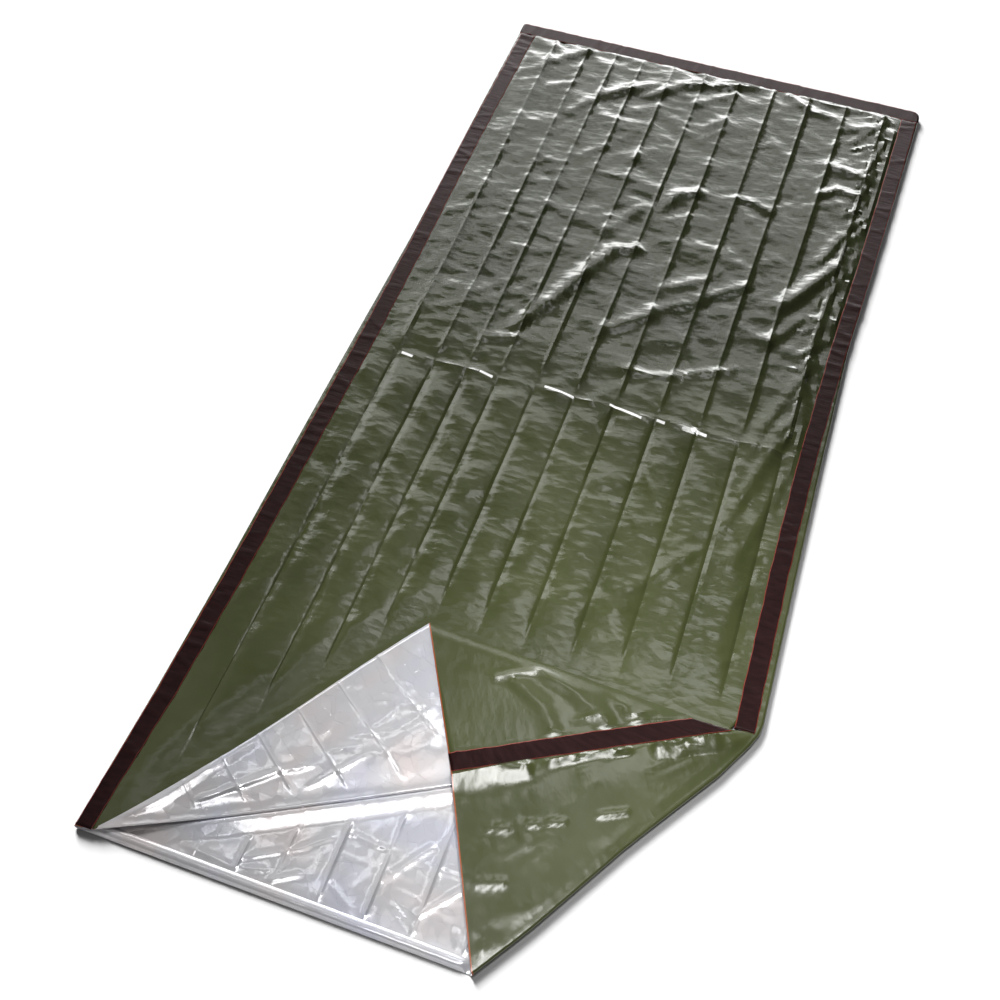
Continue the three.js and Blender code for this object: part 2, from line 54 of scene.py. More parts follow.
# Lower film: the bottom panel, olive outside and silver inside, cut from a roll of metallised film.
# It turns up round three sides to meet the upper film under the tape, and its near right corner
# is folded up over the mouth as the lower half of the green kite. Sizes are in millimetres.
MM = 0.001
TINY = 1e-6
PLAN_ORIGIN = (456.76, 1057.08)
BAG_WIDTH = 914
BAG_LENGTH = 2121
FILM = 0.5
SOLID_FILM = 1.2
EDGE_RADIUS = 4.5
LAYER_PITCH = 2
SEAM_GAP = 1
FLOOR_HEIGHT = SOLID_FILM / 2
SEAM_HEIGHT = FLOOR_HEIGHT + 2 * EDGE_RADIUS
FOOT_SEAM = 19

# Outer edges of the laid bag and the seams' distance in from them, at places from mouth to foot.
SIDE_PLACES = (0, 250, 500, 800, 1050, 1350, 1550, 1800, BAG_LENGTH)
LEFT_EDGE = (0, 7, 9, 8, 8, 9, 6, 1, -3)
RIGHT_EDGE = (914, 914, 914, 906, 900, 895, 902, 909, 917)
LEFT_SEAM = (14, 19, 22, 24, 26, 21, 18, 20, 21)
RIGHT_SEAM = (27, 27, 27, 30, 28, 19, 17.5, 18, 20)
BOW_REACH = 300
LEFT_CORNER_ROUND = 6
RIGHT_CORNER_ROUND = 22

# The turned corner in the plan.
FLAP_START = np.array((29.0, 10.0))
FLAP_END = np.array((862.0, 461.0))
FLAP_TIP = np.array((364.0, 503.0))
SEAM_END = np.array((480.0, 281.0))
SEAM_TOP = np.array((838.0, 480.0))
CORNER = np.array((914.0, 488.0))
TURNED_EDGE_PLACES = (0, 89, 239, 400, 464, 488, 510)
TURNED_EDGE = (616, 674, 764, 868, 901, 911, 914)
TURNED_OUTWARD = np.array((0.86, -0.51))
LOWER_SEAM_SHARES = (0, 0.88, 0.95, 1)
LOWER_SEAM_X = (480, 838, 864, 887)
LOWER_SEAM_Y = (281, 480, 482.5, 487)
FLAP_SWELL = 3
CREASE_SAG = 11
MOUTH_LEFT = 8
MOUTH_RIGHT = -8
MOUTH_REACH = 300
HEM_WIDTH = 20
HEM_RISE = 6
# Distances from the crease's two ends over which the flap swells up.
CORNER_SWELL = (90, 300)
START_SWELL = (20, 200)

# Creases and wrinkles of the silver floor: two ends, height and half width.
FLOOR_CREASES = (104, 178, 246, 305, 375, 446, 519, 596)
FLOOR_WRINKLES = (
    ((124, 42), (237, 27), 1.7, 6),
    ((237, 27), (283, 38), 1.6, 6),
    ((245, 44), (327, 89), 1.7, 6),
    ((316, 82), (355, 116), 1.5, 6),
    ((192, 74), (290, 118), 1.4, 6),
    ((300, 28), (334, 48), 2.2, 6),
    ((383, 132), (448, 125), 1.5, 5),
    ((454, 83), (500, 150), 1.6, 8),
    ((519, 51), (566, 107), 1.8, 8),
    ((383, 50), (428, 22), 1.5, 5),
    ((478, 50), (520, 24), 1.5, 5),
    ((574, 45), (586, 24), 1.5, 5),
    ((524, 120), (563, 121), 1.3, 5),
    ((194, 73), (242, 77), 1.3, 5),
    ((241, 90), (278, 107), 1.4, 5),
)
# Ridges of the green kite.
KITE_WRINKLES = (
    ((570, 200), (595, 209), 2.6, 9),
    ((615, 222), (634, 230), 2.2, 8),
    ((651, 239), (670, 247), 2.2, 8),
    ((718, 276), (751, 293), 2.2, 8),
    ((583, 116), (614, 129), 2.4, 9),
    ((620, 30), (639, 38), 2.0, 8),
    ((500, 442), (563, 478), 3.0, 10),
    ((642, 413), (667, 431), 2.8, 9),
    ((713, 449), (737, 465), 2.4, 9),
    ((653, 463), (697, 407), 1.8, 16),
    ((607, 219), (629, 195), 1.6, 12),
)
# Broader folds under them.
KITE_FOLDS = (
    ((600, 60), (690, 130), 1.2, 26),
    ((690, 130), (764, 247), 1.2, 26),
    ((580, 470), (621, 458), 3.4, 22),
    ((621, 458), (671, 428), 3.4, 22),
    ((535, 441), (578, 419), 3.4, 20),
    ((578, 419), (607, 385), 3.2, 18),
    ((700, 462), (723, 448), 2.6, 18),
)
# Stretches where the film stands up beside the kite's tape: start and end along it, height, and fall.
TAPE_RIDGES = ((-20, 126, 8, 30), (136, 280, 4, 14), (300, 420, 7.5, 28))
TAPE_RIDGE_START = 5
NEAR_SIDE = 0.75
FAR_SIDE = 1.25
END_FADE = 0.7
CREST_SHARE = 0.2
FALL_POWER = 1.5


def smooth(low, high, value):
    share = np.clip((value - low) / (high - low), 0, 1)
    return share * share * (3 - 2 * share)


def mix(low, high, share):
    return low + (high - low) * share


def unit(vector):
    return vector / np.linalg.norm(vector)


def beside(places, y):
    return np.interp(y, SIDE_PLACES, places)


def round_corner(across, along, radius):
    inward_x = np.maximum(across + radius, 0)
    inward_y = np.maximum(along + radius, 0)
    reach = np.maximum(np.hypot(inward_x, inward_y), TINY)
    scale = np.where((inward_x > 0) & (inward_y > 0), np.maximum(inward_x, inward_y) / reach - 1, 0)
    return inward_x * scale, inward_y * scale


def bowed(x, y):
    from_left = np.clip(1 - x / BOW_REACH, 0, 1)
    from_right = np.clip(1 - (BAG_WIDTH - x) / BOW_REACH, 0, 1)
    return x + beside(LEFT_EDGE, y) * from_left + (beside(RIGHT_EDGE, y) - BAG_WIDTH) * from_right


def laid(x, y, z):
    """Place in metres of a point of the straight-sided bag, on the bowed outline of the laid one."""
    right_x, right_y = round_corner(x - BAG_WIDTH, y - BAG_LENGTH, RIGHT_CORNER_ROUND)
    left_x, left_y = round_corner(-x, y - BAG_LENGTH, LEFT_CORNER_ROUND)
    place_x = bowed(x, y) + right_x - left_x - PLAN_ORIGIN[0]
    place_y = y + right_y + left_y - PLAN_ORIGIN[1]
    return np.stack(np.broadcast_arrays(place_x, place_y, z), axis=-1) * MM


def swell_share(x, y):
    from_corner = np.hypot(x - CORNER[0], y - CORNER[1])
    from_start = np.hypot(x - FLAP_START[0], y - FLAP_START[1])
    return smooth(*CORNER_SWELL, from_corner) * smooth(*START_SWELL, from_start)


def flap_height(x, y):
    return SEAM_HEIGHT + LAYER_PITCH + FLAP_SWELL * swell_share(x, y)


def kite_height(x, y):
    return flap_height(x, y) + LAYER_PITCH


def ridge(distance, half):
    """Section of a ridge: 1 on its line, with a round crest, and 0 past its half width."""
    crest = CREST_SHARE * half
    fall = (np.hypot(distance, crest) - crest) / (math.hypot(half, crest) - crest)
    return np.clip(1 - fall, 0, 1) ** FALL_POWER


def to_line(x, y, start, end):
    """Distance along a line, across it to the right, and past its ends."""
    run_x = end[0] - start[0]
    run_y = end[1] - start[1]
    length = math.hypot(run_x, run_y)
    along = ((x - start[0]) * run_x + (y - start[1]) * run_y) / length
    across = ((x - start[0]) * run_y - (y - start[1]) * run_x) / length
    return along, across, np.maximum(np.maximum(-along, along - length), 0)


def wrinkle_height(wrinkles, x, y):
    """Height of straight wrinkles, which are steeper on the side that faces the mouth."""
    height = np.zeros_like(x)
    for start, end, most, half in wrinkles:
        _, across, past = to_line(x, y, start, end)
        side = np.where(across > 0, NEAR_SIDE, FAR_SIDE)
        height = np.maximum(height, most * ridge(np.hypot(across / side, past * END_FADE), half))
    return height


def crumples(seed, count, low, high, angles, lengths, heights, halves):
    """Short wrinkles strewn over a rectangle of the plan."""
    draw = np.random.default_rng(seed)
    strewn = []
    for _ in range(count):
        middle = draw.uniform(low, high)
        turn = math.radians(draw.uniform(*angles))
        reach = draw.uniform(*lengths) / 2 * np.array((math.cos(turn), math.sin(turn)))
        strewn.append((middle - reach, middle + reach, draw.uniform(*heights), draw.uniform(*halves)))
    return strewn


FACET_GRID = 64
FACET_SEED = 2
FACET_HEIGHTS = np.random.default_rng(FACET_SEED).uniform(-1, 1, (FACET_GRID, FACET_GRID))
FACET_SWAY = 0.35
SWAY_ACROSS = 1.3
SWAY_ALONG = 1.7


def facets(x, y, pitch):
    """Crumpled film, from -1 to 1: chance heights on an uneven grid, joined by flat facets."""
    across = x / pitch + FACET_SWAY * np.sin(SWAY_ACROSS * y / pitch)
    along = y / pitch + FACET_SWAY * np.sin(SWAY_ALONG * x / pitch)
    column = np.floor(across).astype(int)
    row = np.floor(along).astype(int)
    right = across - column
    up = along - row

    def corner(right_by, up_by):
        return FACET_HEIGHTS[(column + right_by) % FACET_GRID, (row + up_by) % FACET_GRID]

    low = mix(corner(0, 0), corner(1, 0), right) + up * (corner(0, 1) - corner(0, 0))
    high = mix(corner(1, 1), corner(0, 1), 1 - right) + (1 - up) * (corner(1, 0) - corner(1, 1))
    return np.where(right + up < 1, low, high)


def pleat(away, gentle, steep):
    """Section of a crease: a slow rise from its left and a quick fall on its right."""
    return np.where(away > 0, ridge(away, steep), ridge(away, gentle))


FLOOR_CRUMPLES = crumples(
    seed=3, count=30, low=(50, 30), high=(600, 260), angles=(0, 180), lengths=(30, 110),
    heights=(0.2, 0.8), halves=(4, 7))
FLOOR_SLACK = 0.45
FLOOR_FACET = 52
FLOOR_CREASE_RISE = 2.4
FLOOR_CREASE_SIDES = (5, 4)
FLOOR_WEAR = 0.75
FLOOR_WEAR_SWING = 0.35
FLOOR_WEAR_PITCH = 29
# The floor climbs to meet the flap's crease; distances are below the crease, and the last across the bag.
FLOOR_CLIMB = 5.5
FLOOR_CLIMB_START = -5
FLOOR_CREST = 6
FLOOR_CLIMB_REACH = 34
FLOOR_CALM = (FLOOR_CLIMB_REACH - 6, FLOOR_CLIMB_REACH + 18)
FLOOR_CLIMB_END = (520, 570)
KITE_CRUMPLES = crumples(
    seed=5, count=50, low=(490, 30), high=(880, 470), angles=(0, 90), lengths=(25, 90),
    heights=(0.3, 1.1), halves=(9, 18))
KITE_SLACK = 0.9
KITE_FACET = 58
KITE_CRINKLES = crumples(
    seed=7, count=260, low=(480, 230), high=(890, 470), angles=(-30, 100), lengths=(10, 26),
    heights=(0.8, 2.0), halves=(5, 8))
CRINKLE_FADE = 0.6
TAPE_RIDGE_FADE = 14
TAPE_SHOULDER = 6
TAPE_ALONG = unit(SEAM_TOP - SEAM_END)
TAPE_ACROSS = np.array((TAPE_ALONG[1], -TAPE_ALONG[0]))
TURNED_TAPE_HALF_WIDTH = 15.5


def crease_y(x):
    share = np.clip((x - FLAP_START[0]) / (FLAP_END[0] - FLAP_START[0]), 0, 1)
    return mix(FLAP_START[1], FLAP_END[1], share) - CREASE_SAG * 4 * share * (1 - share)


def floor_relief(x, y):
    relief = np.maximum(wrinkle_height(FLOOR_WRINKLES, x, y), wrinkle_height(FLOOR_CRUMPLES, x, y))
    for crease in FLOOR_CREASES:
        worn = FLOOR_WEAR + FLOOR_WEAR_SWING * np.sin(y / FLOOR_WEAR_PITCH + crease)
        section = pleat(x - crease, *FLOOR_CREASE_SIDES)
        relief = np.maximum(relief, FLOOR_CREASE_RISE * worn * section)
    relief = relief + FLOOR_SLACK * (1 + facets(x, y, FLOOR_FACET))
    below_crease = crease_y(x) - y
    falling = (FLOOR_CLIMB_REACH - below_crease) / (FLOOR_CLIMB_REACH - FLOOR_CREST)
    rising = smooth(FLOOR_CLIMB_START, FLOOR_CREST, below_crease)
    climb = FLOOR_CLIMB * swell_share(x, y) * rising * np.clip(falling, 0, 1)
    climb = climb * (1 - smooth(*FLOOR_CLIMB_END, x))
    return climb + smooth(*FLOOR_CALM, below_crease) * relief


def off_tape(across, reach):
    """0 under the kite's tape, rising to 1 within a reach beside it."""
    return smooth(TURNED_TAPE_HALF_WIDTH, TURNED_TAPE_HALF_WIDTH + reach, np.abs(across))


def kite_relief(x, y):
    along, across, _ = to_line(x, y, SEAM_END, SEAM_TOP)
    relief = np.maximum(wrinkle_height(KITE_WRINKLES, x, y), wrinkle_height(KITE_CRUMPLES, x, y))
    relief = relief + wrinkle_height(KITE_FOLDS, x, y)
    past_crest = across - TURNED_TAPE_HALF_WIDTH - TAPE_RIDGE_START
    crinkled = wrinkle_height(KITE_CRINKLES, x, y)
    for start, end, most, fall in TAPE_RIDGES:
        stretch = smooth(start, start + TAPE_RIDGE_FADE, along) * smooth(0, TAPE_RIDGE_FADE, end - along)
        falling = np.clip(1 - past_crest / fall, 0, 1)
        section = np.where(past_crest > 0, falling, smooth(-TAPE_RIDGE_START, 0, past_crest))
        fading = 1 - smooth(CRINKLE_FADE * fall, fall, past_crest)
        relief = relief + stretch * section * (most + fading * crinkled)
    slack = KITE_SLACK * (1 + facets(x, y, KITE_FACET))
    return off_tape(across, TAPE_SHOULDER) * (relief + slack)


def mouth_line(x, y):
    slant = mix(MOUTH_LEFT, MOUTH_RIGHT, x / TURNED_EDGE[0])
    return y + slant * (1 - smooth(0, MOUTH_REACH, y))


def fold_points(start, end, outward, heights, bulge, turns):
    """Half roll of film between two places and heights, bulging outward."""
    share = (turns / math.pi)[:, None]
    plan = mix(start, end, share) + outward * (bulge * np.sin(turns))[:, None]
    return plan, mix(heights[0], heights[1], (1 - np.cos(turns)) / 2)


STRIP_STEPS = 3
ROLL_STEPS = 8
KITE_STATIONS = np.linspace(0, 1, 42)
# Columns of the floor: close ones on the creases, even ones between, and shared ones past the last crease.
FLOOR_CREASE_COLUMNS = (-5, -2.5, 0, 2, 4)
EVEN_COLUMNS = range(10, 590, 5)
CREASE_ROOM = 9
FIXED_COLUMNS = sorted(
    {crease + side for crease in FLOOR_CREASES for side in FLOOR_CREASE_COLUMNS}
    | {x for x in EVEN_COLUMNS if min(abs(x - crease) for crease in FLOOR_CREASES) > CREASE_ROOM}
)
SHARED_COLUMNS = np.linspace(0, 1, 9)[1:]
# Where the right edge turns and the floor's and kite's relief fades, by place, share or distance.
CORNER_TURN = (430, 510)
FLOOR_MARGIN = 0.04
PAST_HEM = (HEM_WIDTH - 2, HEM_WIDTH + 12)
PAST_MOUTH = (470, 560)
KITE_DROP = (0.9, 1)
KITE_LEVEL = (48, 28)
KITE_LEVEL_SHARE = 0.6
KITE_EDGE_CALM = 20


def lower_row(y):
    """One crosswise row of the lower film: left strip, edge, floor, edge, and right strip or kite."""
    left_y = mouth_line(0, y)
    turns = np.linspace(0, math.pi, ROLL_STEPS + 1)
    strip = np.linspace(beside(LEFT_SEAM, y) - SEAM_GAP / 2, EDGE_RADIUS, STRIP_STEPS + 1)[:-1]
    left_roll = turns[:-1]
    parts = [
        (strip, np.full(STRIP_STEPS, left_y), np.full(STRIP_STEPS, SEAM_HEIGHT)),
        (EDGE_RADIUS * (1 - np.sin(left_roll)), np.full(ROLL_STEPS, left_y),
         SEAM_HEIGHT - EDGE_RADIUS * (1 - np.cos(left_roll))),
    ]
    edge_x = np.interp(y, TURNED_EDGE_PLACES, TURNED_EDGE)
    edge = np.array((edge_x, mouth_line(edge_x, y)))
    outward = unit(mix(TURNED_OUTWARD, np.array((1.0, 0.0)), smooth(*CORNER_TURN, y)))
    floor_end = edge - outward * EDGE_RADIUS
    floor_x = np.concatenate((
        [EDGE_RADIUS], FIXED_COLUMNS, mix(FIXED_COLUMNS[-1], floor_end[0], SHARED_COLUMNS)))
    share = (floor_x - EDGE_RADIUS) / (floor_end[0] - EDGE_RADIUS)
    floor_y = mix(left_y, floor_end[1], share)
    inside = smooth(0, FLOOR_MARGIN, share) * smooth(0, FLOOR_MARGIN, 1 - share)
    from_middle = min(abs(2 * y / HEM_WIDTH - 1), 1)
    hem = HEM_RISE * math.sqrt(1 - from_middle ** 2)
    past_hem = smooth(*PAST_HEM, y) * (1 - smooth(*PAST_MOUTH, y))
    rise = inside * (hem + past_hem * floor_relief(floor_x, floor_y))
    parts.append((floor_x, floor_y, FLOOR_HEIGHT + rise))
    turned_share = y / CORNER[1]
    if turned_share < 1:
        seam = np.array((np.interp(turned_share, LOWER_SEAM_SHARES, LOWER_SEAM_X),
                         np.interp(turned_share, LOWER_SEAM_SHARES, LOWER_SEAM_Y)))
        seam = seam + TAPE_ACROSS * SEAM_GAP
    else:
        seam = np.array((BAG_WIDTH - beside(RIGHT_SEAM, y) + SEAM_GAP / 2, y))
    top_start = mix(edge, seam, EDGE_RADIUS / np.linalg.norm(seam - edge))
    plan, height = fold_points(
        floor_end, top_start, outward, (FLOOR_HEIGHT, SEAM_HEIGHT), EDGE_RADIUS, turns[1:-1])
    parts.append((plan[:, 0], plan[:, 1], height))
    kite = mix(top_start, seam, KITE_STATIONS[:, None])
    kite_z = np.full(len(kite), SEAM_HEIGHT)
    if turned_share < 1:
        width = np.dot(top_start - seam, TAPE_ACROSS)
        from_seam = width * (1 - KITE_STATIONS)
        drop = smooth(*KITE_DROP, turned_share)
        upper = mix(kite_height(kite[:, 0], kite[:, 1]), SEAM_HEIGHT, drop)
        level = min(mix(*KITE_LEVEL, turned_share), width * KITE_LEVEL_SHARE)
        kite_z = mix(upper, SEAM_HEIGHT, smooth(level, width, from_seam))
        from_edge = smooth(0, KITE_EDGE_CALM, width - from_seam)
        kite_z = kite_z + (1 - drop) * from_edge * kite_relief(kite[:, 0], kite[:, 1])
    parts.append((kite[:, 0], kite[:, 1], kite_z))
    return [np.concatenate(values) for values in zip(*parts)]


def film_mesh(name, places, flats, materials, sharp_bend, turned_over=False):
    """A grid of film moved to its folded places, with the flat film's own places as its UV map."""
    columns, rows = places.shape[:2]
    work = bmesh.new()
    bmesh.ops.create_grid(work, x_segments=rows - 1, y_segments=columns - 1, size=1)
    work.verts.index_update()
    flat_layer = work.loops.layers.uv.new("flat")
    flat_list = (flats * MM).reshape(-1, 2).tolist()
    for face in work.faces:
        for loop in face.loops:
            loop[flat_layer].uv = flat_list[loop.vert.index]
    place_list = np.nan_to_num(places).reshape(-1, 3).tolist()
    for vert, place in zip(work.verts, place_list):
        vert.co = place
    left_out = np.isnan(places[..., 0]).reshape(-1)
    bmesh.ops.delete(work, geom=[v for v, out in zip(work.verts, left_out) if out], context="VERTS")
    bmesh.ops.remove_doubles(work, verts=work.verts, dist=TINY)
    if turned_over:
        bmesh.ops.reverse_faces(work, faces=work.faces)
    for edge in work.edges:
        edge.smooth = edge.calc_face_angle(0) < math.radians(sharp_bend)
    mesh = bpy.data.meshes.new(name)
    work.to_mesh(mesh)
    work.free()
    for material in materials:
        mesh.materials.append(material)
    mesh.shade_smooth()
    piece = bpy.data.objects.new(name, mesh)
    bpy.context.scene.collection.objects.link(piece)
    return piece


def give_thickness(piece, thickness):
    solidify = piece.modifiers.new("thickness", "SOLIDIFY")
    solidify.thickness = thickness * MM
    solidify.offset = 0
    solidify.material_offset = 1
    solidify.material_offset_rim = 2


def new_material(name, roughness, metallic):
    material = bpy.data.materials.new(name)
    material.use_nodes = True
    shader = material.node_tree.nodes["Principled BSDF"]
    shader.inputs["Roughness"].default_value = roughness
    shader.inputs["Metallic"].default_value = metallic
    return material, shader


def add_node(material, kind, values=None, **settings):
    node = material.node_tree.nodes.new("ShaderNode" + kind)
    for name, value in settings.items():
        setattr(node, name, value)
    for name, value in (values or {}).items():
        node.inputs[name].default_value = value
    return node


def wire(material, source, target):
    material.node_tree.links.new(source, target)


def combine(material, operation, first, second):
    """Math node; an input is another node's socket or a plain number."""
    node = add_node(material, "Math", operation=operation)
    for socket, value in zip(node.inputs, (first, second)):
        if isinstance(value, (int, float)):
            socket.default_value = value
        else:
            wire(material, value, socket)
    return node.outputs["Value"]


def flat_places(material):
    """The flat film's place at each point, whole and split into its two directions."""
    flat = add_node(material, "UVMap", uv_map="flat").outputs["UV"]
    split = add_node(material, "SeparateXYZ")
    wire(material, flat, split.inputs["Vector"])
    return flat, split.outputs["X"], split.outputs["Y"]


def stretched(material, places, stretch):
    """Places scaled to a pattern's own size: its cells to the metre, across and along the film."""
    scaled = add_node(material, "Mapping", {"Scale": (*stretch, 1)})
    wire(material, places, scaled.inputs["Vector"])
    return scaled.outputs["Vector"]


def noise(material, places, stretch, detail, distortion=0):
    pattern = add_node(material, "TexNoise", {"Scale": 1, "Detail": detail, "Distortion": distortion})
    wire(material, stretched(material, places, stretch), pattern.inputs["Vector"])
    return pattern.outputs["Fac"]


def film_cells(material, places):
    """Uneven cells of crushed film."""
    cells = add_node(material, "TexVoronoi", {"Scale": 1, "Randomness": 1}, voronoi_dimensions="2D")
    wire(material, places, cells.inputs["Vector"])
    return cells


def crinkles(material, places, stretch):
    """Sharp-edged crinkles of stiff film, as a height."""
    return film_cells(material, stretched(material, places, stretch)).outputs["Distance"]


def vector_math(material, operation, first, second):
    """Vector math node; the second input is another node's socket or a plain vector."""
    node = add_node(material, "VectorMath", operation=operation)
    wire(material, first, node.inputs[0])
    if isinstance(second, tuple):
        node.inputs[1].default_value = second
    else:
        wire(material, second, node.inputs[1])
    return node.outputs


def tilted_cells(material, places, stretch):
    """Flat facets of crushed film, each tilted its own way, as a height."""
    scaled = stretched(material, places, stretch)
    cells = film_cells(material, scaled)
    from_middle = vector_math(material, "SUBTRACT", scaled, cells.outputs["Position"])["Vector"]
    tilt = vector_math(material, "SUBTRACT", cells.outputs["Color"], (0.5, 0.5, 0.5))["Vector"]
    return vector_math(material, "DOT_PRODUCT", from_middle, tilt)["Value"]


def colour_ramp(material, share, stops, interpolation="LINEAR"):
    ramp = add_node(material, "ValToRGB")
    ramp.color_ramp.interpolation = interpolation
    while len(ramp.color_ramp.elements) < len(stops):
        ramp.color_ramp.elements.new(1)
    for element, (place, colour) in zip(ramp.color_ramp.elements, stops):
        element.position = place
        element.color = (*colour, 1)
    wire(material, share, ramp.inputs["Fac"])
    return ramp.outputs["Color"]


def blend_colours(material, share, under, over):
    """Colour that goes from a socket's to a plain one by a share."""
    blend = add_node(material, "MixRGB")
    wire(material, share, blend.inputs["Fac"])
    wire(material, under, blend.inputs["Color1"])
    blend.inputs["Color2"].default_value = (*over, 1)
    return blend.outputs["Color"]


def bumps(material, shader, layers):
    """Stack of bumps: each layer is a height socket and its depth in millimetres."""
    below = None
    for height, depth in layers:
        bump = add_node(material, "Bump", {"Strength": 1, "Distance": depth * MM})
        wire(material, height, bump.inputs["Height"])
        if below:
            wire(material, below, bump.inputs["Normal"])
        below = bump.outputs["Normal"]
    wire(material, below, shader.inputs["Normal"])


# Painted highlight: white dashes along the halfway fold stand in for the glints on its ridge: start and
# end across the flat film, and place along it.
HALFWAY_FOLD = 1051
PAINTED_GLINT_DASHES = (
    (99, 122, 1047.5),
    (255, 285, 1051),
    (380, 440, 1055),
    (507, 570, 1050.5),
    (596, 613, 1050),
    (662, 694, 1048.5),
)
PAINTED_GLINT_HALF_WIDTH = 2.8
PAINTED_GLINT_SLANT = -0.17
PAINTED_GLINT_LEVEL = 1000
PAINTED_GLINT_COLOUR = (0.95, 0.95, 0.93)
CUT_EDGE_WIDTH = 2
CUT_EDGE_COLOUR = (0.30, 0.08, 0.03)
CUT_EDGE_SHADES = ((0.3, (0.22, 0.05, 0.02)), (0.7, (0.34, 0.10, 0.04)))
OLIVE_SHADES = ((0.3, (0.039, 0.046, 0.016)), (0.7, (0.056, 0.064, 0.025)))
# Painted shade: the olive is darkened towards the foot to stand in for the weaker light on the far half.
OLIVE_PAINTED_SHADE = (0.012, 0.014, 0.007)
OLIVE_IOR = 1.75
SILVER_TINTS = (
    (0.35, (0.72, 0.67, 0.67)),
    (0.5, (0.67, 0.67, 0.69)),
    (0.65, (0.66, 0.67, 0.75)),
)
# Shares that change along the flat film, in metres from the mouth, or with a pattern. The first is painted
# shade that darkens the olive towards the foot.
PAINTED_SHADE_ALONG = {"From Min": 0.95, "From Max": 1.3, "To Max": 0.5}
HANDLING = {"From Min": 0.3, "From Max": 0.6, "To Min": 0.35}
OLIVE_GLOSS = {"To Min": 0.15, "To Max": 0.27}


def map_range(material, value, limits):
    node = add_node(material, "MapRange", limits)
    wire(material, value, node.inputs["Value"])
    return node.outputs["Result"]


def painted_glint_share(material, across, along):
    """1 on the dashes of painted highlight and 0 beside them; each dash slants a little."""
    dashes = [(0, (0, 0, 0))]
    for start, end, middle in PAINTED_GLINT_DASHES:
        level = (middle - PAINTED_GLINT_LEVEL - PAINTED_GLINT_SLANT * (start + end) / 2) * MM
        dashes += [(start * MM, (level, level, level)), (end * MM, (0, 0, 0))]
    level = colour_ramp(material, across, dashes, "CONSTANT")
    line = combine(material, "ADD", combine(material, "MULTIPLY", across, PAINTED_GLINT_SLANT), level)
    past_level = combine(material, "SUBTRACT", along, PAINTED_GLINT_LEVEL * MM)
    off_line = combine(material, "SUBTRACT", past_level, line)
    from_line = combine(material, "ABSOLUTE", off_line, 0)
    on_line = combine(material, "LESS_THAN", from_line, PAINTED_GLINT_HALF_WIDTH * MM)
    return combine(material, "MULTIPLY", combine(material, "GREATER_THAN", level, MM), on_line)


def olive_side():
    material, shader = new_material("olive_film", roughness=0.25, metallic=0)
    shader.inputs["IOR"].default_value = OLIVE_IOR
    flat, across, along = flat_places(material)
    mottle = noise(material, flat, stretch=(7, 5), detail=5)
    colour = colour_ramp(material, mottle, OLIVE_SHADES)
    # Painted shade: the olive turns darker towards the foot.
    colour = blend_colours(material, map_range(material, along, PAINTED_SHADE_ALONG), colour, OLIVE_PAINTED_SHADE)
    # Painted highlight: white dashes on the halfway fold in place of its glints.
    colour = blend_colours(material, painted_glint_share(material, across, along), colour, PAINTED_GLINT_COLOUR)
    at_edge = combine(material, "LESS_THAN", along, CUT_EDGE_WIDTH * MM)
    colour = blend_colours(material, at_edge, colour, CUT_EDGE_COLOUR)
    wire(material, colour, shader.inputs["Base Color"])
    patches = noise(material, flat, stretch=(11, 23), detail=3)
    wire(material, map_range(material, patches, OLIVE_GLOSS), shader.inputs["Roughness"])
    handled = map_range(material, along, HANDLING)
    crumpled = noise(material, flat, stretch=(24, 40), detail=3, distortion=0.3)
    crumpled = combine(material, "MULTIPLY", crumpled, handled)
    crinkled = crinkles(material, flat, stretch=(34, 62))
    crinkled = combine(material, "MULTIPLY", crinkled, handled)
    fine = noise(material, flat, stretch=(80, 120), detail=1)
    bumps(material, shader, ((crumpled, 1.0), (crinkled, 0.6), (fine, 0.15)))
    return material


def silver_side():
    material, shader = new_material("silver_film", roughness=0.15, metallic=0.5)
    flat, _, _ = flat_places(material)
    tint = noise(material, flat, stretch=(6, 9), detail=3)
    wire(material, colour_ramp(material, tint, SILVER_TINTS), shader.inputs["Base Color"])
    crushed = tilted_cells(material, flat, stretch=(24, 19))
    creased = tilted_cells(material, flat, stretch=(62, 50))
    fine = noise(material, flat, stretch=(90, 90), detail=1)
    bumps(material, shader, ((crushed, 1.7), (creased, 0.6), (fine, 0.1)))
    return material


def film_edge():
    material, shader = new_material("cut_edge", roughness=0.5, metallic=0)
    flat, _, _ = flat_places(material)
    tint = noise(material, flat, stretch=(60, 60), detail=2)
    wire(material, colour_ramp(material, tint, CUT_EDGE_SHADES), shader.inputs["Base Color"])
    return material


# Outside, inside and cut edge of the film.
FILM_FINISH = (olive_side(), silver_side(), film_edge())

# The lower film is cut from the roll beside the upper one, so its flat places start this far across.
LOWER_CUT = 960
LOWER_ROWS = {"hem": 15, "mouth": 118, "far": 64}
MOUTH_ROWS = (HEM_WIDTH + 4, 510)
FAR_ROWS = (530, BAG_LENGTH - 2 * FOOT_SEAM)
FOOT_FLAT_STEP = 2
LOWER_SHARP_BEND = 30


def lower_flat(points, y):
    """Places on the flat film of one crosswise row, by the length along the row."""
    steps = np.linalg.norm(np.diff(np.stack(points), axis=1), axis=0)
    along_row = LOWER_CUT + np.concatenate(([0], np.cumsum(steps)))
    return np.stack((along_row, np.full_like(along_row, y)), axis=-1)


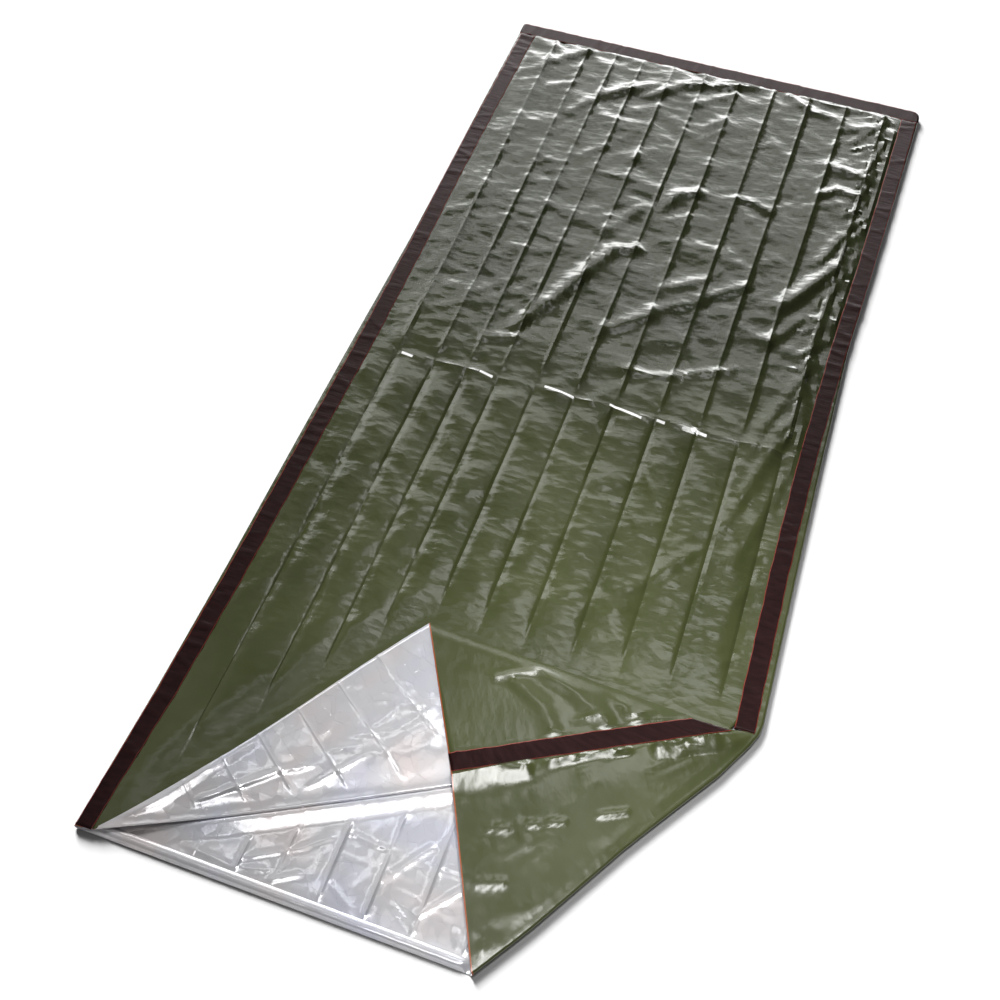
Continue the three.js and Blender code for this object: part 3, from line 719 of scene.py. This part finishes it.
lower_places = np.concatenate((
    HEM_WIDTH / 2 * (1 - np.cos(np.linspace(0, math.pi, LOWER_ROWS["hem"]))),
    np.linspace(*MOUTH_ROWS, LOWER_ROWS["mouth"]),
    np.linspace(*FAR_ROWS, LOWER_ROWS["far"]),
))
row_points = [lower_row(y) for y in lower_places]
rows = [laid(*points) for points in row_points]
flats = [lower_flat(points, y) for points, y in zip(row_points, lower_places)]
foot_x, foot_y, foot_z = lower_row(BAG_LENGTH)
first_turned = STRIP_STEPS + ROLL_STEPS + 1
last_turned = first_turned + len(FIXED_COLUMNS) + len(SHARED_COLUMNS) - 2
turned = np.zeros(len(foot_x), dtype=bool)
turned[first_turned:last_turned + 1] = True
foot_turns = np.linspace(0, math.pi, ROLL_STEPS + 1)
foot_line = BAG_LENGTH - EDGE_RADIUS * (1 - np.sin(foot_turns))
foot_level = FLOOR_HEIGHT + EDGE_RADIUS * (1 - np.cos(foot_turns))
foot_path = [*zip(foot_line, foot_level), (BAG_LENGTH - FOOT_SEAM + SEAM_GAP / 2, SEAM_HEIGHT)]
for step, (y, z) in enumerate(foot_path):
    folded = laid(foot_x, np.full_like(foot_x, y), z)
    beside_fold = laid(foot_x, foot_y, foot_z) if step == 0 else np.full_like(folded, np.nan)
    rows.append(np.where(turned[:, None], folded, beside_fold))
    flats.append(lower_flat((foot_x, foot_y, foot_z), BAG_LENGTH + FOOT_FLAT_STEP * step))

lower_film = film_mesh("lower_film", np.array(rows), np.array(flats), FILM_FINISH, LOWER_SHARP_BEND,
                       turned_over=True)
give_thickness(lower_film, FILM)
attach(lower_film, "root")
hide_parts("lower_panel")

# Upper film: the top panel, cut from the same roll and taped to the lower one on three sides.
# At the near right it is turned back on itself, silver side up, and then over again as the
# upper half of the green kite. It keeps the creases of its storage folds.
TIP_COLUMN = 616
KITE_TOP_FLAT = 430
TRIM_TOP = 540
FLAP_EDGE_BOW = 15
UNDER_FLAP_DROP = 6.5
FLAP_PRESS = 6.6
FLAP_PRESS_REACH = 75
FLAP_PRESS_SHARE = 0.8
FOLD_PUFF = 1.2
FOLD_CREST = 32
FOLD_FALL = 4 * FOLD_CREST
PUFF_SHOULDER = 40
KITE_RELIEF_REACH = 45
UPPER_FOOT = BAG_LENGTH - FOOT_SEAM - SEAM_GAP / 2
FOOT_ROW = 6
TAPE_HALF_WIDTH = 16
STORAGE_CREASES = (92, 168.5, 233, 296, 367, 441, 517, 596, 676, 757, 841)

# Wrinkles pressed across the creases: two ends, height and half width.
FILM_WRINKLES = (
    ((291, 1194), (340, 1293), 8.5, 28),
    ((340, 1293), (375, 1380), 9, 30),
    ((375, 1380), (404, 1450), 9, 30),
    ((404, 1450), (442, 1466), 8, 26),
    ((454, 1238), (521, 1299), 6, 26),
    ((250, 1925), (335, 1994), 6.5, 26),
    ((345, 1957), (402, 2020), 6, 26),
    ((402, 2020), (555, 2074), 6.5, 24),
    ((760, 1420), (828, 1549), 9.5, 30),
    ((798, 1562), (826, 1648), 7, 24),
    ((470, 1617), (483, 1657), 7.5, 26),
    ((483, 1657), (517, 1672), 7.5, 24),
    ((768, 1860), (848, 1841), 6, 22),
    ((760, 1762), (788, 1791), 6, 20),
    ((788, 1791), (840, 1784), 6, 20),
    ((600, 1690), (636, 1692), 5, 20),
    ((636, 1692), (668, 1672), 5, 20),
    ((635, 2069), (684, 2032), 6, 22),
    ((684, 2032), (721, 2026), 5, 20),
    ((768, 1995), (840, 2023), 4, 16),
    ((792, 1961), (847, 2050), 4, 18),
    ((593, 1372), (669, 1436), 5, 24),
    ((518, 1313), (604, 1369), 5, 24),
    ((129, 1914), (171, 1941), 3, 18),
    ((190, 1837), (225, 1890), 4, 22),
    ((242, 1134), (296, 1155), 4, 20),
    ((511, 1147), (591, 1155), 4.5, 16),
    ((591, 1155), (694, 1212), 4.5, 16),
    ((749, 1309), (791, 1385), 5, 24),
    ((813, 1299), (862, 1366), 4.5, 14),
    ((259, 1709), (297, 1751), 3, 20),
    ((360, 1728), (393, 1779), 3, 20),
    ((377, 1503), (421, 1589), 4, 24),
    ((532, 1381), (585, 1425), 4, 22),
    ((446, 1966), (516, 2028), 4, 20),
    ((488, 1892), (515, 1932), 3, 18),
    ((104, 2000), (170, 2066), 5, 24),
    ((752, 848), (782, 1093), 3, 24),
    ((748, 581), (757, 696), 3.4, 30),
    ((757, 696), (761, 849), 4, 28),
    ((761, 849), (815, 1069), 4.4, 26),
    ((801, 797), (849, 1021), 3.6, 24),
    ((660, 690), (745, 800), 3.4, 24),
    ((600, 929), (653, 866), 2.4, 14),
    ((509, 896), (514, 971), 2.4, 14),
    ((782, 1093), (823, 1230), 4.5, 22),
    ((823, 1230), (840, 1289), 4.5, 15),
    ((806, 1070), (841, 1165), 4, 20),
    ((834, 1221), (854, 1076), 4.5, 16),
    ((832, 1328), (835, 1463), 5.5, 11),
    ((837, 1479), (851, 1566), 5.5, 11),
    ((837, 1561), (838, 1638), 5.5, 11),
    ((838, 1638), (875, 1716), 5.5, 11),
    ((839, 1686), (871, 1739), 5.5, 11),
    ((845, 1803), (852, 1882), 5.5, 11),
    ((842, 1879), (857, 1981), 5.5, 11),
    ((118, 2076), (260, 2077), 3, 8),
    ((614, 2077), (850, 2076), 3, 8),
    ((859, 1290), (864, 1500), 3, 8),
    ((864, 1500), (868, 1700), 3, 8),
    ((868, 1700), (872, 2050), 3, 8),
    ((160, 722), (300, 738), 1.6, 14),
)
FLAP_WRINKLES = (
    ((154, 105), (249, 186), 2.0, 9),
    ((249, 186), (286, 206), 1.8, 8),
    ((300, 178), (361, 257), 1.4, 7),
    ((300, 249), (346, 253), 1.3, 7),
    ((329, 277), (384, 303), 1.3, 7),
    ((351, 304), (374, 349), 1.2, 7),
    ((342, 347), (435, 361), 1.3, 7),
    ((388, 312), (434, 365), 1.3, 7),
    ((338, 451), (379, 379), 1.2, 7),
    ((295, 430), (358, 390), 1.2, 7),
    ((306, 241), (339, 262), 1.4, 8),
)
FAR_CRUMPLES = crumples(
    seed=11, count=220, low=(60, 1080), high=(840, 2080), angles=(-20, 70), lengths=(25, 110),
    heights=(0.5, 1.9), halves=(9, 18))
NEAR_CRUMPLES = crumples(
    seed=13, count=190, low=(60, 120), high=(840, 1060), angles=(-10, 70), lengths=(25, 100),
    heights=(0.6, 2.0), halves=(8, 15))
PUCKERS = crumples(
    seed=17, count=150, low=(815, 1080), high=(872, 2070), angles=(-20, 110), lengths=(16, 50),
    heights=(2.0, 5.0), halves=(6, 10))
FLAP_CRUMPLES = crumples(
    seed=19, count=40, low=(90, 60), high=(480, 480), angles=(0, 180), lengths=(25, 80),
    heights=(0.2, 0.7), halves=(6, 9))
FILM_FACET = 58
FINE_FACET = 24
FACET_STRETCH = 1.5
FAR_SLACK = 2.3
NEAR_SLACK = 2.0
FINE_SLACK = 0.75
MOUTH_CALM = 0.45
CALM_PLACES = (250, 700)
CALM_ACROSS = (300, 550)
# Storage creases: ridges in the far half, and valleys with a pinched line in the near half. The sides
# are the half widths of a crease's gentle and steep side.
CREASE_WEAR = 0.95
CREASE_WEAR_SWING = 0.2
CREASE_WEAR_ALONG = 83
CREASE_WEAR_ACROSS = 71
FAR_CREASE = 2.2
FAR_CREASE_SIDES = (55, 13)
FAR_PINCH = 1.7
FAR_PINCH_SIDES = (7, 7)
NEAR_PILLOW = 3.4
NEAR_PILLOW_SIDES = (34, 34)
NEAR_PINCH = 2.2
NEAR_PINCH_SIDES = (8, 6)
NEAR_NOTCH = 1.2
NEAR_NOTCH_SIDES = (8, 2.2)
PILLOW_CALM = 0.3
HALFWAY_RISE = 1.6
HALFWAY_HALF = 8
HALFWAY_BLEND = (-40, 60)
# The film's rise from its taped edges, and where the flap leaves it bare.
FREE_RISE = 2
FREE_REACH = (TAPE_HALF_WIDTH + 4, TAPE_HALF_WIDTH + 54)
RELIEF_REACH = (TAPE_HALF_WIDTH, TAPE_HALF_WIDTH + 7)
BARE_ALONG = (500, 620)
BARE_BESIDE = (10, 80)
# The flap's relief: its creases, its rolled left edge, and its calm right edge.
FLAP_SLACK = 0.6
FLAP_FACET = 46
FLAP_CREASE = 0.7
FLAP_CREASE_SIDES = (4, 2.5)
FLAP_RIGHT_EDGE = (495, 246)
FLAP_EDGE_CALM = (4, 24)
FLAP_BEAD = 2.4
FLAP_BEAD_WIDTH = 30
FLAP_BEAD_START = (10, 60)
FLAP_BEAD_END = (170, 320)
FLAP_SETTLE = (10, 34)


def upper_left(y):
    return beside(LEFT_SEAM, y) + SEAM_GAP / 2


def upper_right(y):
    seam = BAG_WIDTH - beside(RIGHT_SEAM, y) - SEAM_GAP / 2
    return mix(FLAP_END[0], seam, smooth(FLAP_END[1], TRIM_TOP, y))


def crease_relief(x, gentle, steep, steep_side=1):
    """Section of the storage creases, steep on their right, or on their left for a side of -1."""
    relief = np.zeros_like(x)
    for crease in STORAGE_CREASES:
        relief = np.maximum(relief, pleat(steep_side * (x - crease), gentle, steep))
    return relief


def upper_height(x, y):
    """Middle height of the main part of the upper film."""
    from_edge = np.minimum(np.minimum(x - upper_left(y), upper_right(y) - x), UPPER_FOOT - y)
    free = smooth(*FREE_REACH, from_edge)
    past_tape = smooth(*RELIEF_REACH, from_edge)
    _, from_flap, _ = to_line(x, y, FLAP_TIP, FLAP_START)
    bare = np.maximum(smooth(*BARE_ALONG, y), smooth(*BARE_BESIDE, from_flap))
    far = smooth(*HALFWAY_BLEND, y - HALFWAY_FOLD)
    plan_x = bowed(x, y)
    strewn = wrinkle_height(FAR_CRUMPLES + NEAR_CRUMPLES + PUCKERS, plan_x, y)
    calm = mix(MOUTH_CALM, 1, smooth(*CALM_PLACES, y))
    relief = np.maximum(wrinkle_height(FILM_WRINKLES, plan_x, y), calm * strewn)
    slack = facets(x, FACET_STRETCH * y, FILM_FACET)
    fine_slack = facets(x, FACET_STRETCH * y, FINE_FACET)
    relief = relief + calm * (mix(NEAR_SLACK, FAR_SLACK, far) * slack + FINE_SLACK * fine_slack)
    relief = relief + HALFWAY_RISE * ridge(y - HALFWAY_FOLD, HALFWAY_HALF)
    worn = CREASE_WEAR + CREASE_WEAR_SWING * np.sin(y / CREASE_WEAR_ALONG + x / CREASE_WEAR_ACROSS)
    crests = FAR_CREASE * crease_relief(x, *FAR_CREASE_SIDES)
    crests = crests + FAR_PINCH * crease_relief(x, *FAR_PINCH_SIDES)
    relief = relief + far * worn * crests
    deep = np.maximum(smooth(*CALM_PLACES, y), smooth(*CALM_ACROSS, x))
    valley = NEAR_PILLOW * mix(PILLOW_CALM, 1, deep) * crease_relief(x, *NEAR_PILLOW_SIDES)
    valley = valley + NEAR_PINCH * deep * crease_relief(x, *NEAR_PINCH_SIDES, steep_side=-1)
    valley = valley + NEAR_NOTCH * (1 - deep) * crease_relief(x, *NEAR_NOTCH_SIDES, steep_side=-1)
    relief = relief - (1 - far) * worn * valley
    under_flap = -UNDER_FLAP_DROP * swell_share(x, y) * free
    return SEAM_HEIGHT + mix(under_flap, FREE_RISE * free + past_tape * relief, bare)


def flap_relief(x, y, column):
    _, from_kite, _ = to_line(x, y, FLAP_TIP, FLAP_RIGHT_EDGE)
    relief = np.maximum(wrinkle_height(FLAP_WRINKLES, x, y), wrinkle_height(FLAP_CRUMPLES, x, y))
    relief = relief + FLAP_CREASE * crease_relief(column, *FLAP_CREASE_SIDES)
    relief = relief + FLAP_SLACK * (1 + facets(x, y, FLAP_FACET))
    along_edge, from_edge, _ = to_line(x, y, FLAP_START, FLAP_TIP)
    bead = FLAP_BEAD * ridge(from_edge - FLAP_BEAD_WIDTH / 2, FLAP_BEAD_WIDTH / 2)
    bead = bead * smooth(*FLAP_BEAD_START, along_edge) * (1 - smooth(*FLAP_BEAD_END, along_edge))
    return smooth(*FLAP_EDGE_CALM, from_kite) * (swell_share(x, y) * relief + bead)


UPPER_STEPS = {"far": 146, "near": 88, "roll": 9, "flap": 44, "fold": 2, "kite": 36}


def upper_column(column_at):
    """One lengthwise column of the upper film from foot to mouth, and its places on the flat film."""
    fold_x = float(column_at(FLAP_END[1]))
    crease = np.array((fold_x, float(crease_y(fold_x))))
    low = float(upper_height(crease[:1], crease[1:])[0])
    pressed = FLAP_PRESS * float(swell_share(*crease))
    high = float(flap_height(*crease)) - pressed
    radius = (high - low) / 2
    main_y = np.concatenate((
        [UPPER_FOOT],
        np.linspace(UPPER_FOOT - FOOT_ROW, HALFWAY_FOLD, UPPER_STEPS["far"]),
        np.linspace(HALFWAY_FOLD, crease[1] + radius, UPPER_STEPS["near"] + 1)[1:],
    ))
    main_x = column_at(main_y)
    points = [laid(main_x, main_y, upper_height(main_x, main_y))]
    flat = [main_y]
    total = len(main_y) + sum(UPPER_STEPS[part] for part in ("roll", "flap", "fold", "kite"))

    def finished():
        places = np.concatenate(points)
        flat_y = np.concatenate(flat)
        spare = total - len(places)
        places = np.concatenate((places, np.repeat(places[-1:], spare, axis=0)))
        flat_y = np.concatenate((flat_y, np.repeat(flat_y[-1:], spare)))
        return places, np.stack((np.full(total, fold_x), flat_y), axis=-1)

    if fold_x <= FLAP_START[0]:
        return finished()
    past_tip = np.clip((fold_x - TIP_COLUMN) / (FLAP_END[0] - TIP_COLUMN), 0, 1)
    flap_share = min(1, (fold_x - FLAP_START[0]) / (TIP_COLUMN - FLAP_START[0]))
    bow = FLAP_EDGE_BOW * math.sin(math.pi * flap_share) * (1 - flap_share)
    edge_out = unit(np.array((FLAP_TIP[1] - FLAP_START[1], FLAP_START[0] - FLAP_TIP[0])))
    flap_end = mix(mix(FLAP_START, FLAP_TIP, flap_share) + edge_out * bow, SEAM_TOP, past_tip)
    length = np.linalg.norm(flap_end - crease)
    back = (flap_end - crease) / length
    crease_out = unit(np.array((FLAP_END[1] - FLAP_START[1], FLAP_START[0] - FLAP_END[0])))
    angle = min(math.pi, length / radius)
    turns = np.linspace(0, angle, UPPER_STEPS["roll"] + 1)[1:]
    roll_end = crease + back * radius
    plan, height = fold_points(
        crease + np.array((0, radius)), roll_end, crease_out, (low, high), radius, turns)
    points.append(laid(plan[:, 0], plan[:, 1], height))
    flat.append(crease[1] - radius * turns)
    if angle < math.pi:
        return finished()
    tip_radius = LAYER_PITCH / 2
    fold_flat = KITE_TOP_FLAT * past_tip
    flap_stop = flap_end - back * (tip_radius if past_tip > 0 else 0)
    share = np.linspace(0, 1, UPPER_STEPS["flap"] + 1)[1:]
    flap_x, flap_y = mix(roll_end, flap_stop, share[:, None]).T
    settle = smooth(*FLAP_SETTLE, share * length) * (past_tip == 0)
    press_reach = min(FLAP_PRESS_REACH / length, FLAP_PRESS_SHARE)
    flap_z = flap_height(flap_x, flap_y) - pressed * (1 - smooth(0, press_reach, share))
    flap_z = flap_z + settle * flap_relief(flap_x, flap_y, np.full_like(flap_x, fold_x))
    points.append(laid(flap_x, flap_y, flap_z))
    flat.append(mix(crease[1] - math.pi * radius, fold_flat, share))
    if past_tip == 0:
        return finished()
    kite_end = mix(FLAP_TIP, SEAM_END, past_tip)
    length = np.linalg.norm(kite_end - flap_end)
    down = (kite_end - flap_end) / length
    tip_out = unit(np.array((FLAP_TIP[1] - SEAM_TOP[1], SEAM_TOP[0] - FLAP_TIP[0])))
    angle = min(math.pi, length / tip_radius)
    turns = np.linspace(0, angle, UPPER_STEPS["fold"] + 1)[1:]
    roll_end = flap_end + down * tip_radius
    top = float(flap_height(*flap_end))
    plan, height = fold_points(
        flap_stop, roll_end, tip_out, (top, top + LAYER_PITCH), tip_radius, turns)
    points.append(laid(plan[:, 0], plan[:, 1], height))
    flat.append(fold_flat - tip_radius * turns)
    if angle < math.pi:
        return finished()
    share = np.linspace(0, 1, UPPER_STEPS["kite"] + 1)[1:]
    kite_x, kite_y = mix(roll_end, kite_end, share[:, None]).T
    from_fold = share * length
    puff = FOLD_PUFF * smooth(0, FOLD_CREST, from_fold)
    puff = puff * (1 - smooth(FOLD_CREST, FOLD_FALL, from_fold))
    _, across, _ = to_line(kite_x, kite_y, SEAM_END, SEAM_TOP)
    relief = puff * off_tape(across, PUFF_SHOULDER)
    relief = relief + smooth(0, KITE_RELIEF_REACH, from_fold) * kite_relief(kite_x, kite_y)
    points.append(laid(kite_x, kite_y, kite_height(kite_x, kite_y) + relief))
    flat.append(mix(fold_flat, 0, share))
    return finished()


def straight_column(x):
    return lambda y: np.full_like(y, x, dtype=float)


def right_column(share):
    last = STORAGE_CREASES[-1] + CREASE_COLUMNS[-1]
    return lambda y: mix(last, upper_right(y), share)


# Columns of the upper film: close ones where the flap starts, at its tip and on the creases.
START_COLUMNS = (29, 31, 33, 35.5, 38.5, 42, 46, 51)
TIP_COLUMNS = (TIP_COLUMN, 617, 618.2, 622)
CREASE_COLUMNS = (-7, -4, -2, 0, 3, 8)
FIRST_BETWEEN = 44
BETWEEN_STEPS = 8
WRINKLED_STEPS = 12
RIGHT_SHARES = (0.17, 0.34, 0.5, 0.65, 0.8, 1)
UPPER_SHARP_BEND = 20
column_places = {*START_COLUMNS, *TIP_COLUMNS}
column_places.update(crease + side for crease in STORAGE_CREASES for side in CREASE_COLUMNS)
for low, high in zip((FIRST_BETWEEN, *STORAGE_CREASES[:-1]), STORAGE_CREASES):
    steps = WRINKLED_STEPS if low >= STORAGE_CREASES[-3] else BETWEEN_STEPS
    column_places.update(np.linspace(low + CREASE_COLUMNS[-1], high + CREASE_COLUMNS[0], steps)[1:-1])
columns = [upper_left, *[straight_column(x) for x in sorted(column_places)]]
columns += [right_column(share) for share in RIGHT_SHARES]
made_columns = [upper_column(column) for column in columns]
upper_film = film_mesh("upper_film", np.array([places for places, _ in made_columns]),
                       np.array([flat for _, flat in made_columns]), FILM_FINISH, UPPER_SHARP_BEND)
give_thickness(upper_film, FILM)
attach(upper_film, "root")
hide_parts("upper_panel")

# Side tapes: smooth brown adhesive tape pressed over the two long seams. The left one runs
# from the mouth to the foot, and the right one stops where the open corner is turned back.
TAPE = 0.5
TAPE_LIFT = 0.7
MOUTH_TAPE_HALF_WIDTH = 13
LEFT_TAPE_START = 9
RIGHT_TAPE_START = 487
FOOT_TAPE_HALF_WIDTH = 18.5
TAPE_CLEARANCE = 0.3
TAPE_STEP = 5
TAPE_STATIONS = np.array((-1, -0.9, -0.6, -0.2, 0.2, 0.6, 0.9, 1))
TAPE_SHARP_BEND = 30
# Uneven edges: swing and pitch of two waves. Small folds: one to a stretch, with their own slant and rise.
TAPE_WANDER = ((0.4, 17), (0.3, 7.3))
TAPE_FOLD_STRETCH = 26
TAPE_FOLD_SLANT = 0.5
TAPE_FOLD_RISES = (0.3, 1.0)
TAPE_FOLD_HALF = 6
TAPE_SHADES = ((0.3, (0.006, 0.0015, 0.0015)), (0.7, (0.016, 0.005, 0.005)))
TAPE_SPECULAR = 0.22
TAPE_SPECULAR_TINT = (1.0, 0.72, 0.72, 1)
TAPE_RIM_SHARE = 0.93
TAPE_RIM_COLOUR = (0.16, 0.022, 0.016)


def tape_side():
    material, shader = new_material("brown_tape", roughness=0.38, metallic=0)
    shader.inputs["Specular IOR Level"].default_value = TAPE_SPECULAR
    shader.inputs["Specular Tint"].default_value = TAPE_SPECULAR_TINT
    flat, across, _ = flat_places(material)
    bands = noise(material, flat, stretch=(0.6, 120), detail=4)
    colour = colour_ramp(material, bands, TAPE_SHADES)
    rim = combine(material, "GREATER_THAN", combine(material, "ABSOLUTE", across, 0), TAPE_RIM_SHARE)
    colour = blend_colours(material, rim, colour, TAPE_RIM_COLOUR)
    wire(material, colour, shader.inputs["Base Color"])
    lines = noise(material, flat, stretch=(0.4, 260), detail=3)
    bumps(material, shader, ((bands, 0.6), (lines, 0.25)))
    return material


BROWN_TAPE = tape_side()
TAPE_FINISH = (BROWN_TAPE, BROWN_TAPE, FILM_FINISH[2])


def tape_strip(name, node, place, length, half_width, height, seed):
    """A strip of tape: place gives the plan for a distance along it and offsets across it."""
    draw = np.random.default_rng(seed)
    folds = []
    for _ in range(int(length / TAPE_FOLD_STRETCH)):
        middle = draw.uniform(0, length)
        slant = draw.uniform(-TAPE_FOLD_SLANT, TAPE_FOLD_SLANT)
        folds.append((middle, slant, draw.uniform(*TAPE_FOLD_RISES)))
    places = []
    flats = []
    for along in np.linspace(0, length, int(length / TAPE_STEP) + 1):
        wander = sum(swing * math.sin(along / pitch) for swing, pitch in TAPE_WANDER)
        offset = TAPE_STATIONS * half_width(along) + TAPE_STATIONS ** 2 * wander
        x, y = place(along, offset)
        lift = sum(most * ridge(along - middle - slant * offset, TAPE_FOLD_HALF)
                   for middle, slant, most in folds)
        places.append(laid(x, y, height(x, y) + TAPE_LIFT + lift))
        flats.append(np.stack((TAPE_STATIONS / MM, np.full_like(x, along)), axis=-1))
    strip = film_mesh(name, np.array(places), np.array(flats), TAPE_FINISH, TAPE_SHARP_BEND)
    give_thickness(strip, TAPE)
    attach(strip, "root")
    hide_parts(node)
    width = 2 * float(half_width(length / 2))


def level_seam(x, y):
    return np.full_like(x, SEAM_HEIGHT)


def left_tape_half(along):
    return mix(MOUTH_TAPE_HALF_WIDTH, TAPE_HALF_WIDTH, smooth(0, MOUTH_REACH, along))


def left_tape_place(along, offset):
    y = np.full_like(offset, LEFT_TAPE_START + along)
    return beside(LEFT_SEAM, y) + offset, y


def right_tape_place(along, offset):
    y = np.full_like(offset, RIGHT_TAPE_START + along)
    return BAG_WIDTH - beside(RIGHT_SEAM, y) + offset, y


side_tape_end = BAG_LENGTH - FOOT_SEAM - FOOT_TAPE_HALF_WIDTH - TAPE_CLEARANCE
tape_strip("left_edge_tape", "left_tape", left_tape_place, side_tape_end - LEFT_TAPE_START,
           left_tape_half, level_seam, seed=23)
tape_strip("right_edge_tape", "right_tape", right_tape_place, side_tape_end - RIGHT_TAPE_START,
           lambda along: TAPE_HALF_WIDTH, level_seam, seed=29)

# Turned tape: the stretch of the right seam's tape that comes up with the open corner
# and crosses the green kite. Its far end slants, because it goes under along the kite's top fold.
TURNED_TAPE_CLEAR = 3
TURNED_TAPE_LENGTH = float(np.linalg.norm(SEAM_TOP - SEAM_END)) - TURNED_TAPE_CLEAR
END_SLANT = TAPE_ALONG[0] / TAPE_ALONG[1]


def turned_tape_place(along, offset):
    slanted = along * (1 - END_SLANT * offset / TURNED_TAPE_LENGTH)
    x = SEAM_END[0] + TAPE_ALONG[0] * slanted - TAPE_ACROSS[0] * offset
    return x, SEAM_END[1] + TAPE_ALONG[1] * slanted - TAPE_ACROSS[1] * offset


tape_strip("kite_tape", "turned_tape", turned_tape_place, TURNED_TAPE_LENGTH,
           lambda along: TURNED_TAPE_HALF_WIDTH, kite_height, seed=31)

# Foot tape: the same tape, a little wider, pressed over the seam across the foot.
# The side tapes stop just short of it.
FOOT_TAPE_INSET = 0.5


def foot_tape_place(along, offset):
    return np.full_like(offset, FOOT_TAPE_INSET + along), BAG_LENGTH - FOOT_SEAM - offset


tape_strip("foot_edge_tape", "foot_tape", foot_tape_place, BAG_WIDTH - 2 * FOOT_TAPE_INSET,
           lambda along: FOOT_TAPE_HALF_WIDTH, level_seam, seed=37)

# Floor: a plain pale sheet under the bag, which the light makes nearly white.
# It belongs to the stage, and the bag lies on it.
FLOOR_REACH = 12
FLOOR_SHADE = (0.235, 0.235, 0.235, 1)

work = bmesh.new()
bmesh.ops.create_grid(work, x_segments=1, y_segments=1, size=FLOOR_REACH)
floor = bpy.data.objects.new("floor", bpy.data.meshes.new("floor"))
work.to_mesh(floor.data)
work.free()
pale, pale_shader = new_material("pale_floor", roughness=0.9, metallic=0)
pale_shader.inputs["Base Color"].default_value = FLOOR_SHADE
floor.data.materials.append(pale)
bpy.context.scene.collection.objects.link(floor)


# Studio light: soft strips behind and over the bag, which its film mirrors, with a bright one overhead
# for the kite's glints alone. The overhead fill, the key light from behind on the left and the pale
# surround aren't mirrored. A lower light on the key's side falls on the floor alone, for the soft shadow.
def soft_light(name, place, target, size, radiance, colour=(1, 1, 1), diffuse=True):
    """Soft rectangle of light, given by its radiance: its image is as bright at any size."""
    light = bpy.data.lights.new(name, "AREA")
    light.color = colour
    light.shape = "RECTANGLE"
    light.size, light.size_y = size
    light.energy = math.pi * size[0] * size[1] * radiance
    lamp = bpy.data.objects.new(name, light)
    lamp.location = place
    lamp.rotation_euler = (Vector(target) - Vector(place)).to_track_quat("-Z", "Y").to_euler()
    lamp.visible_camera = False
    lamp.visible_diffuse = diffuse
    bpy.context.scene.collection.objects.link(lamp)


soft_light("top_back_light", (-1.0, 4.4, 3.85), (0, 0.3, 0), (4.2, 0.5), 2.45)
soft_light("high_back_light", (-1.0, 4.8, 2.9), (0, 0.3, 0), (4.2, 0.5), 2.55)
soft_light("back_light", (-1.0, 5.0, 1.95), (0, 0.3, 0), (4.4, 0.5), 4)
soft_light("low_back_light", (-1.0, 5.2, 0.95), (0, 0.3, 0), (4.4, 1.1), 8)
soft_light("left_back_light", (-3.9, 3.7, 3.0), (0, 0.3, 0), (1.6, 2.4), 2.2)
soft_light("left_light", (-2.7, 0.9, 3.4), (-0.2, -0.7, 0), (1.2, 1.6), 0.2)
soft_light("far_roof_light", (-0.3, 3.45, 3.7), (0, 0, 0), (2.6, 0.24), 1.6)
soft_light("near_roof_light", (0.1, 2.5, 3.7), (0, -0.3, 0), (2.4, 0.2), 0.5)
soft_light("left_roof_light", (-1.3, 2.0, 3.7), (0, -0.3, 0), (1.0, 0.5), 0.25)
soft_light("kite_light", (0.2, 1.15, 3.5), (0.1, -0.7, 0), (1.2, 0.65), 2.5)
soft_light("band_light", (-0.25, -1.0, 3.6), (-0.2, -0.9, 0), (1.2, 0.5), 3)
soft_light("silver_light", (-1.1, 0.5, 3.6), (-0.2, -0.8, 0), (1.4, 0.18), 1.8)
soft_light("front_light", (0.3, -4.5, 2.3), (0, -0.7, 0), (5.0, 4.2), 0.6)
soft_light("mouth_light", (-0.05, -0.15, 3.6), (-0.1, -0.8, 0), (0.9, 0.8), 0.7, (1, 0.92, 0.89))
soft_light("top_light", (0.75, -0.75, 4.2), (0.1, -0.6, 0), (1.2, 1.0), 14, diffuse=False)
fill_light = bpy.data.objects.new("fill_light", bpy.data.lights.new("fill_light", "SPOT"))
fill_light.location = (0.3, -0.6, 2.2)
fill_light.data.energy = 200
fill_light.data.spot_size = math.radians(36)
fill_light.data.spot_blend = 1
fill_light.data.shadow_soft_size = 0.2
fill_light.visible_camera = False
fill_light.visible_glossy = False
bpy.context.scene.collection.objects.link(fill_light)


def far_light(name, turn, strength, spread):
    """Light from far off that the film doesn't mirror."""
    lamp = bpy.data.objects.new(name, bpy.data.lights.new(name, "SUN"))
    lamp.data.energy = strength
    lamp.data.angle = math.radians(spread)
    lamp.rotation_euler = [math.radians(angle) for angle in turn]
    lamp.visible_glossy = False
    bpy.context.scene.collection.objects.link(lamp)
    return lamp


KEY_SIDE = 216.9
far_light("key_light", (53, 0, KEY_SIDE), strength=3.2, spread=14)
lit_floor = bpy.data.collections.new("lit_floor")
lit_floor.objects.link(floor)
shadow_light = far_light("shadow_light", (66, 0, KEY_SIDE), strength=28, spread=22)
shadow_light.light_linking.receiver_collection = lit_floor
world = bpy.data.worlds.new("surround")
bpy.context.scene.world = world
world.use_nodes = True
world.node_tree.nodes["Background"].inputs["Color"].default_value = (1, 1, 1, 1)
world.node_tree.nodes["Background"].inputs["Strength"].default_value = 0.06
world.cycles_visibility.glossy = False
bpy.context.scene.view_settings.view_transform = "Standard"
